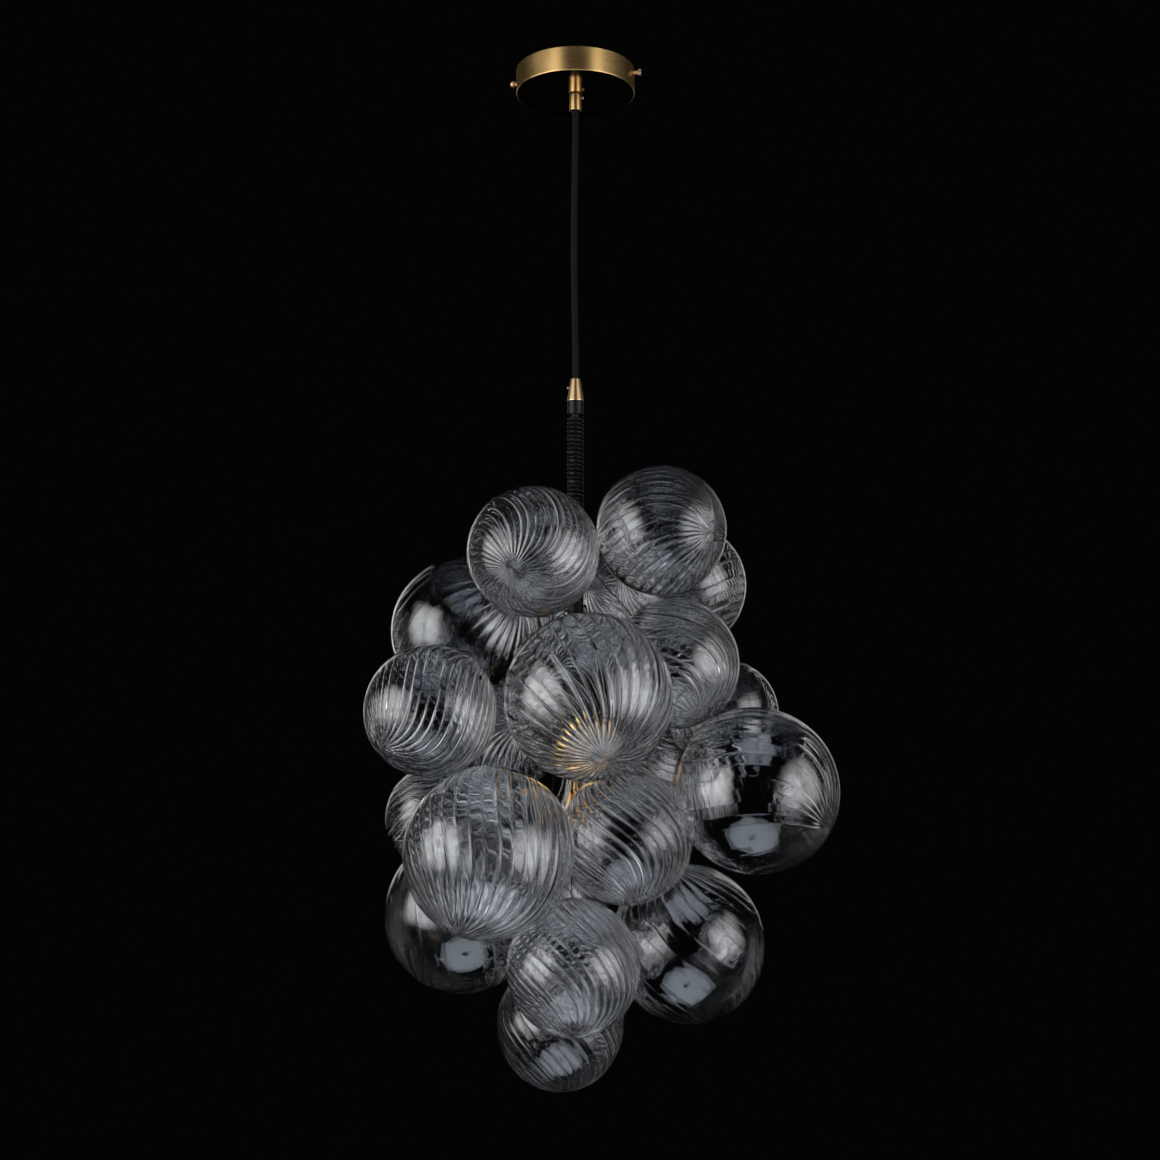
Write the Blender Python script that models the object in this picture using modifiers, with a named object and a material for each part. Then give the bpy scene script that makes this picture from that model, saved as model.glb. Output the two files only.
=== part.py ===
"""Bubble chandelier: swirl-ribbed blown-glass globes, each tied by its own cord to one
stem that hangs on a textile cord under a brass ceiling canopy.

Metres, +Z up. The origin is the centre of the face that meets the ceiling. Seen along +Y,
+X is to the right. Globes are numbered from the top of the cluster down, back ones last.
"""

import math

import bmesh
import bpy
from mathutils import Matrix, Vector

# Fits and cuts
SEAT_GAP = 0.0003
SWING_GAP = 0.0004
CUT_OVERRUN = 0.004
MERGE_DISTANCE = 0.00001

# Ceiling canopy: a spun cup with a closed floor
CANOPY_DIAMETER = 0.120
CANOPY_HEIGHT = 0.0232
CANOPY_WALL = 0.0012
CANOPY_EDGE = 0.0016

# Crossbar that is screwed to the ceiling and carries the canopy's side screws
BAR_TURN = math.radians(-13)
BAR_WIDTH = 0.018
BAR_THICKNESS = 0.002
BAR_BEND = 0.0035
BAR_LUG_DEPTH = 0.0125
BAR_END_CLEARANCE = 0.0025
CEILING_SLOT_WIDTH = 0.0052
CEILING_SLOT_LENGTH = 0.016
CEILING_SLOT_SPACING = 0.062

# Side screws, whose heads stand off the canopy wall
SIDE_SCREW_DIAMETER = 0.004
SIDE_SCREW_DROP = 0.0068
SIDE_SCREW_TIP = 0.003
SIDE_SCREW_STANDOFF = 0.0045
SIDE_SCREW_HEAD_DIAMETER = 0.0068
SIDE_SCREW_HEAD_LENGTH = 0.0034

# Cord grip: a hollow hexagon bolt dropped through the canopy floor, and its screwed cap
NIPPLE_DIAMETER = 0.009
NIPPLE_HEAD_WIDTH = 0.014
NIPPLE_HEAD_HEIGHT = 0.0035
NIPPLE_ENGAGEMENT = 0.0075
GRIP_DIAMETER = 0.0124
GRIP_LENGTH = 0.0165
GRIP_EDGE = 0.0005
GRIP_SCREW_DROP = 0.003

# Set screws of the grip and of the cone
SET_SCREW_DIAMETER = 0.0022
SET_SCREW_HEAD_DIAMETER = 0.003
SET_SCREW_HEAD_LENGTH = 0.0014
SET_SCREW_PROUD = 0.0008

# Cord: textile outside the fittings, its stripped inner lead inside them
CORD_DIAMETER = 0.0068
CORD_DROP = 0.272
CORD_BOW = 0.0015
CORD_STEPS = 16
LEAD_DIAMETER = 0.0036
LEAD_BEND = 0.009

# Terminal block under the crossbar
TERMINAL_LENGTH = 0.020
TERMINAL_WIDTH = 0.014
TERMINAL_HEIGHT = 0.010
TERMINAL_LUG_GAP = 0.014
TERMINAL_SCREW_DIAMETER = 0.0036
TERMINAL_SCREW_DEPTH = 0.004
TERMINAL_SCREW_SPACING = 0.009

# Cone coupler between the cord and the stem
CONE_TOP_DIAMETER = 0.0096
CONE_BOTTOM_DIAMETER = 0.0171
CONE_HEIGHT = 0.0227
CONE_EDGE = 0.001
CONE_SCREW_DROP = 0.0095
SPIGOT_DIAMETER = 0.0076
SPIGOT_LENGTH = 0.0165

# Stem: a plain band, a stretch wound with cord, and a plain length that takes the ties
STEM_DIAMETER = 0.0166
STEM_LENGTH = 0.3185
STEM_BAND = 0.0132
LOWER_SPIGOT_DIAMETER = 0.010
LOWER_SPIGOT_LENGTH = 0.008
WRAP_DIAMETER = 0.0038
WRAP_PITCH = 0.0044
WRAP_LOOPS = 20
WRAP_POINTS_PER_LOOP = 10
WRAP_TURN_STEPS = 4

# Lampholder, a brass cup round a porcelain socket
HOLDER_DIAMETER = 0.040
HOLDER_HEIGHT = 0.058
HOLDER_WALL = 0.0012
HOLDER_SHOULDER = 0.008
INSERT_HEADROOM = 0.0112
INSERT_RECESS = 0.0015

# Bulb
BASE_DIAMETER = 0.026
BASE_HEIGHT = 0.026
BASE_SHOULDER = 0.004
CONTACT_DIAMETER = 0.009
CONTACT_HEIGHT = 0.002
MOUNT_DIAMETER = 0.008
MOUNT_TIP_DIAMETER = 0.006
MOUNT_LENGTH = 0.016
BULB_DIAMETER = 0.045
BULB_NECK_DIAMETER = 0.025
BULB_LENGTH = 0.065
BULB_WALL = 0.001
FILAMENT_DIAMETER = 0.0014
FILAMENT_STROKES = 9
FILAMENT_HEIGHT = 0.026
FILAMENT_TOP_RADIUS = 0.0062
FILAMENT_BOTTOM_RADIUS = 0.0115
FILAMENT_LEAD_SPREAD = 0.0019
FILAMENT_LEAD_DROP = 0.0025

# Glass globes
SMALL_GLOBE = 0.125
LARGE_GLOBE = 0.155
GLOBE_GAP = 0.0015
CORE_CLEARANCE = 0.002
GLASS_WALL = 0.002
NECK_HOLE = 0.005
RIB_DEPTH = 0.0012
RIB_COUNT = 8
GLOBE_BANDS = 8
GLOBE_TWIST = math.radians(120)

# Ties that carry the globes
TIE_DIAMETER = 0.0012
KNOT_DIAMETER = 0.003
KNOT_LENGTH = 0.0028
KNOT_TAPER = 0.0014
BEAD_DIAMETER = 0.0078
BEAD_LENGTH = 0.003
BEAD_TAPER = 0.002
BEAD_SEAT = 0.0004

# One row per globe: nominal size, the share of it that the globe was blown to, its centre
# from the foot of the stem as shares of the cluster's pitch, and how far up the stem its
# tie is knotted, in the same shares. The last globe's first two shares are worked out from
# the others, so that the cluster hangs straight.
GLOBE_ROW_SHARES = (
    (SMALL_GLOBE, 0.985, (-0.39, -1.08, 1.62), 1.93),
    (SMALL_GLOBE, 1.000, (0.81, -0.75, 1.83), 1.89),
    (SMALL_GLOBE, 1.090, (1.11, 0.46, 1.30), 1.70),
    (LARGE_GLOBE, 1.020, (-1.18, 0.70, 0.82), 1.50),
    (SMALL_GLOBE, 1.025, (-1.39, -0.62, 0.11), 1.05),
    (LARGE_GLOBE, 0.955, (0.11, -1.72, 0.35), 1.35),
    (SMALL_GLOBE, 1.010, (0.94, -0.63, 0.56), 1.55),
    (SMALL_GLOBE, 0.965, (1.59, 0.84, -0.08), 0.90),
    (LARGE_GLOBE, 0.965, (1.61, -1.38, -0.52), 0.20),
    (LARGE_GLOBE, 0.995, (-0.77, -1.45, -1.06), 0.65),
    (SMALL_GLOBE, 1.030, (-1.61, 2.08, -1.45), 0.95),
    (LARGE_GLOBE, 1.040, (-1.15, 0.18, -2.04), 1.00),
    (SMALL_GLOBE, 1.010, (0.48, -0.78, -1.07), 0.75),
    (LARGE_GLOBE, 0.990, (1.11, -0.24, -2.23), 1.10),
    (SMALL_GLOBE, 0.995, (-0.02, -1.08, -2.20), 1.60),
    (SMALL_GLOBE, 1.020, (-0.15, -0.16, -3.06), 1.75),
    (SMALL_GLOBE, 0.995, (0.20, 1.48, 1.03), 1.75),
    (SMALL_GLOBE, 1.010, (-0.85, 1.66, -0.50), 0.38),
    (SMALL_GLOBE, 0.990, (0.77, 1.56, -0.80), 0.85),
    (LARGE_GLOBE, 1.000, (0.00, 0.00, -2.32), 1.25),
)
# Ties that go round the lamp or another globe on their way, with the point they go round.
TIE_DETOUR_SHARES = {
    11: (-0.60, 1.10, -1.36),
    15: (-0.04, -0.40, -1.30),
    16: (-0.26, 0.31, -1.10),
}
# A globe nearer the axis than this share of the pitch hangs below the lamp.
UNDER_LAMP_SHARE = 0.5

# Heights that several pieces share
PIVOT_Z = -CANOPY_HEIGHT - SEAT_GAP - GRIP_LENGTH
CONE_TOP_Z = PIVOT_Z - CORD_DROP
CONE_BOTTOM_Z = CONE_TOP_Z - CONE_HEIGHT
STEM_TOP_Z = CONE_BOTTOM_Z - SEAT_GAP
STEM_FOOT_Z = STEM_TOP_Z - STEM_LENGTH
HOLDER_TOP_Z = STEM_FOOT_Z - SEAT_GAP
HOLDER_FOOT_Z = HOLDER_TOP_Z - HOLDER_HEIGHT
BASE_FOOT_Z = HOLDER_FOOT_Z - SEAT_GAP
BASE_TOP_Z = BASE_FOOT_Z + BASE_HEIGHT

CORD_RADIUS = CORD_DIAMETER / 2
LEAD_HOLE_RADIUS = LEAD_DIAMETER / 2 + SEAT_GAP
CORD_POCKET = CORD_RADIUS + SWING_GAP
STEM_RADIUS = STEM_DIAMETER / 2
WRAP_RADIUS = WRAP_DIAMETER / 2
WRAP_CENTRE = STEM_RADIUS - WRAP_RADIUS
CORE_RADIUS = WRAP_CENTRE * math.cos(math.pi / WRAP_POINTS_PER_LOOP) - WRAP_RADIUS - SEAT_GAP
WRAP_TURN = WRAP_DIAMETER * 1.3
WRAP_HEIGHT = WRAP_LOOPS * WRAP_PITCH + 2 * (WRAP_TURN + WRAP_DIAMETER)
WRAP_TOP_Z = STEM_TOP_Z - STEM_BAND
WRAP_FOOT_Z = WRAP_TOP_Z - WRAP_HEIGHT - 2 * SEAT_GAP

LUG_INSIDE = CANOPY_DIAMETER / 2 - CANOPY_WALL - BAR_END_CLEARANCE - BAR_THICKNESS
TERMINAL_OFFSET = LUG_INSIDE - TERMINAL_LUG_GAP - TERMINAL_LENGTH / 2

DOWN = Vector((0, 0, -1))
BAR_AXIS = Vector((math.cos(BAR_TURN), math.sin(BAR_TURN), 0))


def start_scene():
    for obj in list(bpy.data.objects):
        bpy.data.objects.remove(obj, do_unlink=True)
    part = bpy.data.collections.new("bubble_chandelier")
    helpers = bpy.data.collections.new("cutters")
    bpy.context.scene.collection.children.link(part)
    bpy.context.scene.collection.children.link(helpers)
    return part, helpers


PART, HELPERS = start_scene()


def material(name, colour, roughness, metallic=0.0, transmission=0.0):
    made = bpy.data.materials.new(name)
    made.use_nodes = True
    shader = made.node_tree.nodes["Principled BSDF"]
    shader.inputs["Base Color"].default_value = (*colour, 1)
    shader.inputs["Roughness"].default_value = roughness
    shader.inputs["Metallic"].default_value = metallic
    shader.inputs["Transmission Weight"].default_value = transmission
    made.diffuse_color = (*colour, 1)
    return made


BRASS = material("brushed_brass", (0.72, 0.50, 0.22), 0.28, metallic=1)
STEEL = material("plated_steel", (0.62, 0.62, 0.60), 0.35, metallic=1)
TEXTILE = material("black_textile", (0.012, 0.012, 0.013), 0.85)
BLACK_PAINT = material("black_lacquer", (0.010, 0.010, 0.011), 0.45)
WOUND_CORD = material("wound_cord", (0.014, 0.014, 0.015), 0.75)
LEAD_JACKET = material("lead_jacket", (0.03, 0.03, 0.03), 0.55)
PORCELAIN = material("porcelain", (0.82, 0.81, 0.78), 0.3)
POLYAMIDE = material("polyamide", (0.78, 0.77, 0.72), 0.5)
GLOBE_GLASS = material("globe_glass", (0.96, 0.98, 1.0), 0.02, transmission=1)
BULB_GLASS = material("bulb_glass", (1.0, 0.93, 0.80), 0.01, transmission=1)
FILAMENT = material("amber_filament", (0.85, 0.48, 0.10), 0.4)


def pivot(name, location, parent=None):
    """An empty on a joint's axis, which carries the pieces that move about it."""
    empty = bpy.data.objects.new(name, None)
    PART.objects.link(empty)
    empty["world"] = tuple(location)
    if parent:
        empty.parent = parent
        empty.location = Vector(location) - Vector(parent["world"])
    else:
        empty.location = location
    return empty


def add_piece(name, data, finish, carrier, location=(0, 0, 0), turn=None):
    """Links an object, placed in world terms and parented to the empty that carries it."""
    obj = bpy.data.objects.new(name, data)
    PART.objects.link(obj)
    obj.data.materials.append(finish)
    obj.parent = carrier
    obj.location = Vector(location) - Vector(carrier["world"])
    if turn is not None:
        obj.rotation_mode = "QUATERNION"
        obj.rotation_quaternion = turn
    return obj


def add_cutter(name, data, location, turn=None):
    cutter = bpy.data.objects.new(name, data)
    HELPERS.objects.link(cutter)
    cutter.location = location
    if turn is not None:
        cutter.rotation_mode = "QUATERNION"
        cutter.rotation_quaternion = turn
    cutter.hide_render = True
    cutter.display_type = "WIRE"
    return cutter


def boolean(obj, cutter, operation="DIFFERENCE"):
    modifier = obj.modifiers.new(cutter.name, "BOOLEAN")
    modifier.operation = operation
    modifier.object = cutter


def arc(centre_r, centre_z, radius, start_degrees, end_degrees, steps):
    """Points (r, z) along an arc of a turned profile."""
    points = []
    for step in range(steps + 1):
        angle = math.radians(start_degrees + (end_degrees - start_degrees) * step / steps)
        points.append((centre_r + radius * math.cos(angle), centre_z + radius * math.sin(angle)))
    return points


def outline_mesh(name, points, closed):
    mesh = bpy.data.meshes.new(name)
    count = len(points)
    edges = [(i, (i + 1) % count) for i in range(count if closed else count - 1)]
    mesh.from_pydata([(r, 0, z) for r, z in points], edges, [])
    return mesh


def add_screw(obj, steps):
    modifier = obj.modifiers.new("turn", "SCREW")
    modifier.axis = "Z"
    modifier.angle = math.tau
    modifier.steps = steps
    modifier.render_steps = steps
    modifier.use_merge_vertices = True
    modifier.merge_threshold = MERGE_DISTANCE
    modifier.use_smooth_shade = True


def turned(name, points, finish, carrier, steps, location=(0, 0, 0), turn=None, closed=True):
    """A turned piece from (r, z) points that run down its outer side."""
    obj = add_piece(name, outline_mesh(name, points, closed), finish, carrier, location, turn)
    add_screw(obj, steps)
    return obj


def cylinder_mesh(name, radius, length, sides):
    """A cylinder along Z, centred on its origin."""
    shape = bmesh.new()
    bmesh.ops.create_cone(
        shape, cap_ends=True, segments=sides, radius1=radius, radius2=radius, depth=length
    )
    mesh = bpy.data.meshes.new(name)
    shape.to_mesh(mesh)
    shape.free()
    return mesh


def box_mesh(name, size):
    shape = bmesh.new()
    bmesh.ops.create_cube(shape, size=1)
    bmesh.ops.scale(shape, vec=size, verts=shape.verts)
    mesh = bpy.data.meshes.new(name)
    shape.to_mesh(mesh)
    shape.free()
    return mesh


def wire(name, points, diameter, finish, carrier, resolution=2):
    """A round wire through (point, share of its diameter) pairs."""
    curve = bpy.data.curves.new(name, "CURVE")
    curve.dimensions = "3D"
    curve.bevel_depth = diameter / 2
    curve.bevel_resolution = resolution
    curve.use_fill_caps = True
    spline = curve.splines.new("POLY")
    spline.points.add(len(points) - 1)
    origin = Vector(carrier["world"])
    for target, (place, share) in zip(spline.points, points):
        target.co = (*(Vector(place) - origin), 1)
        target.radius = share
    return add_piece(name, curve, finish, carrier, carrier["world"])


def toward(direction):
    """The turn that takes +Z to a direction."""
    return Vector((0, 0, 1)).rotation_difference(Vector(direction))


def in_bar_frame(along, across, z):
    side = Vector((-BAR_AXIS.y, BAR_AXIS.x, 0))
    return BAR_AXIS * along + side * across + Vector((0, 0, z))


def make_canopy(ceiling):
    outer = CANOPY_DIAMETER / 2
    inner = outer - CANOPY_WALL
    hole = NIPPLE_DIAMETER / 2 + SEAT_GAP
    floor = CANOPY_WALL - CANOPY_HEIGHT
    edge = arc(outer - CANOPY_EDGE, CANOPY_EDGE - CANOPY_HEIGHT, CANOPY_EDGE, 0, -90, 3)
    profile = [(outer, 0), *edge, (hole, -CANOPY_HEIGHT), (hole, floor), (inner, floor), (inner, 0)]
    canopy = turned("canopy_cup", profile, BRASS, ceiling, 44)
    reach = CANOPY_DIAMETER + 2 * CUT_OVERRUN
    hole_cut = cylinder_mesh("side_holes", SIDE_SCREW_DIAMETER / 2 + SEAT_GAP, reach, 12)
    place = Vector((0, 0, -SIDE_SCREW_DROP))
    boolean(canopy, add_cutter("side_hole_cutter", hole_cut, place, toward(BAR_AXIS)))


def make_crossbar(ceiling):
    """A flat strip with its ends bent down, drawn as a side view and given its width."""
    half = CANOPY_DIAMETER / 2 - CANOPY_WALL - BAR_END_CLEARANCE
    bend = arc(half - BAR_BEND, -BAR_BEND, BAR_BEND, 90, 0, 3)
    inner_bend = BAR_BEND - BAR_THICKNESS
    inside = arc(half - BAR_BEND, -BAR_BEND, inner_bend, 0, 90, 3)
    right = bend + [(half, -BAR_LUG_DEPTH), (half - BAR_THICKNESS, -BAR_LUG_DEPTH)] + inside
    left = [(-x, z) for x, z in reversed(right)]
    shape = bmesh.new()
    corners = [shape.verts.new((x, -BAR_WIDTH / 2, z)) for x, z in right + left]
    strip = shape.faces.new(corners)
    drawn = bmesh.ops.extrude_face_region(shape, geom=[strip])
    moved = [part for part in drawn["geom"] if isinstance(part, bmesh.types.BMVert)]
    bmesh.ops.translate(shape, vec=(0, BAR_WIDTH, 0), verts=moved)
    bmesh.ops.recalc_face_normals(shape, faces=shape.faces)
    mesh = bpy.data.meshes.new("crossbar")
    shape.to_mesh(mesh)
    shape.free()
    turn = Matrix.Rotation(BAR_TURN, 3, "Z").to_quaternion()
    bar = add_piece("crossbar", mesh, STEEL, ceiling, turn=turn)
    reach = 2 * half + 2 * CUT_OVERRUN
    screw_cut = cylinder_mesh("lug_holes", SIDE_SCREW_DIAMETER / 2 + SEAT_GAP, reach, 12)
    place = Vector((0, 0, -SIDE_SCREW_DROP))
    boolean(bar, add_cutter("lug_hole_cutter", screw_cut, place, toward(BAR_AXIS)))
    depth = BAR_THICKNESS + 2 * CUT_OVERRUN
    for side in (-1, 1):
        run = CEILING_SLOT_LENGTH - CEILING_SLOT_WIDTH
        middle = side * CEILING_SLOT_SPACING / 2
        slot = box_mesh("slot", (run, CEILING_SLOT_WIDTH, depth))
        boolean(bar, add_cutter("slot_cutter", slot, in_bar_frame(middle, 0, 0), turn))
        for end in (-1, 1):
            round_end = cylinder_mesh("slot_end", CEILING_SLOT_WIDTH / 2, depth, 12)
            place = in_bar_frame(middle + end * run / 2, 0, 0)
            boolean(bar, add_cutter("slot_end_cutter", round_end, place, turn))


def make_side_screw(name, ceiling, side):
    """A screw on the crossbar's axis, drawn from its inner tip outwards along +Z."""
    start = LUG_INSIDE - SIDE_SCREW_TIP
    head = CANOPY_DIAMETER / 2 + SIDE_SCREW_STANDOFF - start
    top = head + SIDE_SCREW_HEAD_LENGTH
    shaft_radius = SIDE_SCREW_DIAMETER / 2
    head_radius = SIDE_SCREW_HEAD_DIAMETER / 2
    crown = shaft_radius
    point = shaft_radius / 2
    profile = [(0, top), (crown, top), (head_radius, top - crown / 2), (head_radius, head)]
    profile += [(shaft_radius, head), (shaft_radius, point), (shaft_radius - point / 2, 0), (0, 0)]
    axis = BAR_AXIS * side
    place = axis * start + Vector((0, 0, -SIDE_SCREW_DROP))
    axle = pivot(name + "_axis", place, ceiling)
    turned(name, profile, BRASS, axle, 14, place, toward(axis), closed=False)


def make_grip(ceiling):
    floor = CANOPY_WALL - CANOPY_HEIGHT
    head_top = floor + SEAT_GAP + NIPPLE_HEAD_HEIGHT
    foot = -CANOPY_HEIGHT - NIPPLE_ENGAGEMENT
    nipple_radius = NIPPLE_DIAMETER / 2
    shank = cylinder_mesh("grip_nipple", nipple_radius, head_top - foot, 20)
    middle = (0, 0, (head_top + foot) / 2)
    nipple = add_piece("grip_nipple", shank, BRASS, ceiling, middle)
    corner_radius = NIPPLE_HEAD_WIDTH / 2 / math.cos(math.pi / 6)
    hexagon = cylinder_mesh("hexagon", corner_radius, NIPPLE_HEAD_HEIGHT, 6)
    head_middle = (0, 0, head_top - NIPPLE_HEAD_HEIGHT / 2)
    boolean(nipple, add_cutter("hexagon_head", hexagon, head_middle), "UNION")
    bore = cylinder_mesh("bore", LEAD_HOLE_RADIUS, head_top - foot + 2 * CUT_OVERRUN, 16)
    boolean(nipple, add_cutter("nipple_bore", bore, middle))

    radius = GRIP_DIAMETER / 2
    top = -CANOPY_HEIGHT - SEAT_GAP
    shoulder = foot - SEAT_GAP
    thread = nipple_radius + SEAT_GAP
    profile = [(radius, top), (radius, PIVOT_Z + GRIP_EDGE), (radius - GRIP_EDGE, PIVOT_Z)]
    profile += [(CORD_POCKET, PIVOT_Z), (CORD_POCKET, PIVOT_Z + CORD_POCKET)]
    profile += [(LEAD_HOLE_RADIUS, PIVOT_Z + CORD_POCKET), (LEAD_HOLE_RADIUS, shoulder)]
    profile += [(thread, shoulder), (thread, top)]
    cap = turned("grip_cap", profile, BRASS, ceiling, 24)
    screw_z = top - GRIP_SCREW_DROP
    seat = Vector((nipple_radius + SEAT_GAP, 0, screw_z))
    make_set_screw("grip_set_screw", cap, ceiling, seat, Vector((1, 0, 0)), radius)


def make_set_screw(name, wall, carrier, seat, outward, wall_radius):
    """A small screw through a wall, from its seat on the inner piece out to a proud head."""
    shaft = wall_radius + SET_SCREW_PROUD - Vector((seat.x, seat.y, 0)).length
    reach = shaft + CUT_OVERRUN
    hole = cylinder_mesh("set_hole", SET_SCREW_DIAMETER / 2 + SEAT_GAP, reach, 10)
    place = seat + outward * (reach / 2 - SEAT_GAP)
    boolean(wall, add_cutter(name + "_hole", hole, place, toward(outward)))
    shaft_radius = SET_SCREW_DIAMETER / 2
    head_radius = SET_SCREW_HEAD_DIAMETER / 2
    top = shaft + SET_SCREW_HEAD_LENGTH
    profile = [(0, top), (shaft_radius, top), (head_radius, top - SEAT_GAP), (head_radius, shaft)]
    profile += [(shaft_radius, shaft), (shaft_radius, 0), (0, 0)]
    turned(name, profile, STEEL, carrier, 10, seat, toward(outward), closed=False)


def make_terminal(ceiling):
    top = -BAR_THICKNESS - SEAT_GAP
    middle_z = top - TERMINAL_HEIGHT / 2
    turn = Matrix.Rotation(BAR_TURN, 3, "Z").to_quaternion()
    size = (TERMINAL_LENGTH, TERMINAL_WIDTH, TERMINAL_HEIGHT)
    place = in_bar_frame(TERMINAL_OFFSET, 0, middle_z)
    block = add_piece("terminal_block", box_mesh("terminal_block", size), POLYAMIDE, ceiling, place, turn)
    for side in (-1, 1):
        depth = TERMINAL_SCREW_DEPTH + CUT_OVERRUN
        well = cylinder_mesh("screw_well", TERMINAL_SCREW_DIAMETER / 2, depth, 12)
        z = top - TERMINAL_HEIGHT + TERMINAL_SCREW_DEPTH - depth / 2
        place = in_bar_frame(TERMINAL_OFFSET + side * TERMINAL_SCREW_SPACING / 2, 0, z)
        boolean(block, add_cutter("screw_well_cutter", well, place, turn))


def make_ceiling_lead(ceiling):
    """The stripped lead, up through the grip and over to the terminal block."""
    end_z = -BAR_THICKNESS - SEAT_GAP - TERMINAL_HEIGHT / 2
    end_along = TERMINAL_OFFSET - TERMINAL_LENGTH / 2 - SEAT_GAP
    points = [(Vector((0, 0, PIVOT_Z + CORD_POCKET)), 1)]
    for r, z in arc(LEAD_BEND, end_z - LEAD_BEND, LEAD_BEND, 180, 90, 5):
        points.append((in_bar_frame(r, 0, z), 1))
    points.append((in_bar_frame(end_along, 0, end_z), 1))
    wire("ceiling_lead", points, LEAD_DIAMETER, LEAD_JACKET, ceiling)


def dome_points(centre, direction):
    """Rounds a cord's end off about the point that it swings about."""
    points = []
    for degrees in (30, 60, 78):
        angle = math.radians(degrees)
        points.append((centre + direction * CORD_RADIUS * math.sin(angle), math.cos(angle)))
    return points


def make_cord(swing):
    top = Vector((0, 0, PIVOT_Z))
    foot = Vector((0, 0, CONE_TOP_Z))
    points = list(reversed(dome_points(top, -DOWN)))
    for step in range(CORD_STEPS + 1):
        share = step / CORD_STEPS
        bow = Vector((-CORD_BOW * math.sin(math.pi * share) ** 2, 0, 0))
        points.append((top.lerp(foot, share) + bow, 1))
    points += dome_points(foot, DOWN)
    wire("suspension_cord", points, CORD_DIAMETER, TEXTILE, swing)


def make_cone(coupler):
    top_radius = CONE_TOP_DIAMETER / 2
    foot_radius = CONE_BOTTOM_DIAMETER / 2
    bore = SPIGOT_DIAMETER / 2 + SEAT_GAP
    spigot_top = STEM_TOP_Z + SPIGOT_LENGTH + SEAT_GAP
    pocket_foot = CONE_TOP_Z - CORD_POCKET
    profile = [(top_radius, CONE_TOP_Z), (foot_radius, CONE_BOTTOM_Z + CONE_EDGE)]
    profile += [(foot_radius, CONE_BOTTOM_Z), (bore, CONE_BOTTOM_Z), (bore, spigot_top)]
    profile += [(LEAD_HOLE_RADIUS, spigot_top), (LEAD_HOLE_RADIUS, pocket_foot)]
    profile += [(CORD_POCKET, pocket_foot), (CORD_POCKET, CONE_TOP_Z)]
    cone = turned("cone_coupler", profile, BRASS, coupler, 24)
    fall = CONE_SCREW_DROP / (CONE_HEIGHT - CONE_EDGE)
    wall_radius = top_radius + (foot_radius - top_radius) * fall
    seat = Vector((-bore, 0, CONE_TOP_Z - CONE_SCREW_DROP))
    make_set_screw("cone_set_screw", cone, coupler, seat, Vector((-1, 0, 0)), wall_radius)


def make_stem(cluster):
    spigot = SPIGOT_DIAMETER / 2
    lower_spigot = LOWER_SPIGOT_DIAMETER / 2
    foot = STEM_FOOT_Z - LOWER_SPIGOT_LENGTH
    profile = [(spigot, STEM_TOP_Z + SPIGOT_LENGTH), (spigot, STEM_TOP_Z)]
    profile += [(STEM_RADIUS, STEM_TOP_Z), (STEM_RADIUS, WRAP_TOP_Z), (CORE_RADIUS, WRAP_TOP_Z)]
    profile += [(CORE_RADIUS, WRAP_FOOT_Z), (STEM_RADIUS, WRAP_FOOT_Z), (STEM_RADIUS, STEM_FOOT_Z)]
    profile += [(lower_spigot, STEM_FOOT_Z), (lower_spigot, foot), (LEAD_HOLE_RADIUS, foot)]
    profile += [(LEAD_HOLE_RADIUS, STEM_TOP_Z + SPIGOT_LENGTH)]
    turned("stem_tube", profile, BLACK_PAINT, cluster, 20)
    top = Vector((0, 0, CONE_TOP_Z - CORD_POCKET))
    lead_foot = Vector((0, 0, HOLDER_TOP_Z - INSERT_HEADROOM + SEAT_GAP))
    wire("stem_lead", [(top, 1), (lead_foot, 1)], LEAD_DIAMETER, LEAD_JACKET, cluster)


def on_stem(run, z):
    """A point on the winding's cylinder, from the run round it and the height."""
    angle = run / WRAP_CENTRE
    return Vector((WRAP_CENTRE * math.cos(angle), WRAP_CENTRE * math.sin(angle), z))


def wrap_path():
    """The winding's centre line: level loops that turn up and down into its two ends."""
    loop = math.tau * WRAP_CENTRE
    first_z = WRAP_TOP_Z - SEAT_GAP - WRAP_DIAMETER - WRAP_TURN
    last_z = first_z - WRAP_LOOPS * WRAP_PITCH
    path = [on_stem(-WRAP_TURN, WRAP_TOP_Z - SEAT_GAP)]
    for step in range(WRAP_TURN_STEPS):
        angle = math.pi / 2 * step / WRAP_TURN_STEPS
        run = -WRAP_TURN * math.cos(angle)
        path.append(on_stem(run, first_z + WRAP_TURN * (1 - math.sin(angle))))
    steps = WRAP_LOOPS * WRAP_POINTS_PER_LOOP
    for step in range(steps + 1):
        share = step / steps
        path.append(on_stem(loop * WRAP_LOOPS * share, first_z + (last_z - first_z) * share))
    end_run = loop * WRAP_LOOPS
    for step in range(1, WRAP_TURN_STEPS + 1):
        angle = math.pi / 2 * step / WRAP_TURN_STEPS
        run = end_run + WRAP_TURN * math.sin(angle)
        path.append(on_stem(run, last_z - WRAP_TURN * (1 - math.cos(angle))))
    path.append(on_stem(end_run + WRAP_TURN, WRAP_FOOT_Z + SEAT_GAP))
    return path


def least_gap(path, diameter):
    """The least gap between stretches of a wound tube that lie half a loop apart or more."""
    apart = WRAP_POINTS_PER_LOOP // 2
    least = math.inf
    for i, point in enumerate(path):
        for other in path[i + apart :]:
            least = min(least, (point - other).length - diameter)
    return least


def make_wrap(cluster):
    path = wrap_path()
    wire("stem_wrap", [(point, 1) for point in path], WRAP_DIAMETER, WOUND_CORD, cluster, 1)
    print(f"stem_wrap: least gap to itself {least_gap(path, WRAP_DIAMETER) * 1000:.2f} mm")


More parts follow.
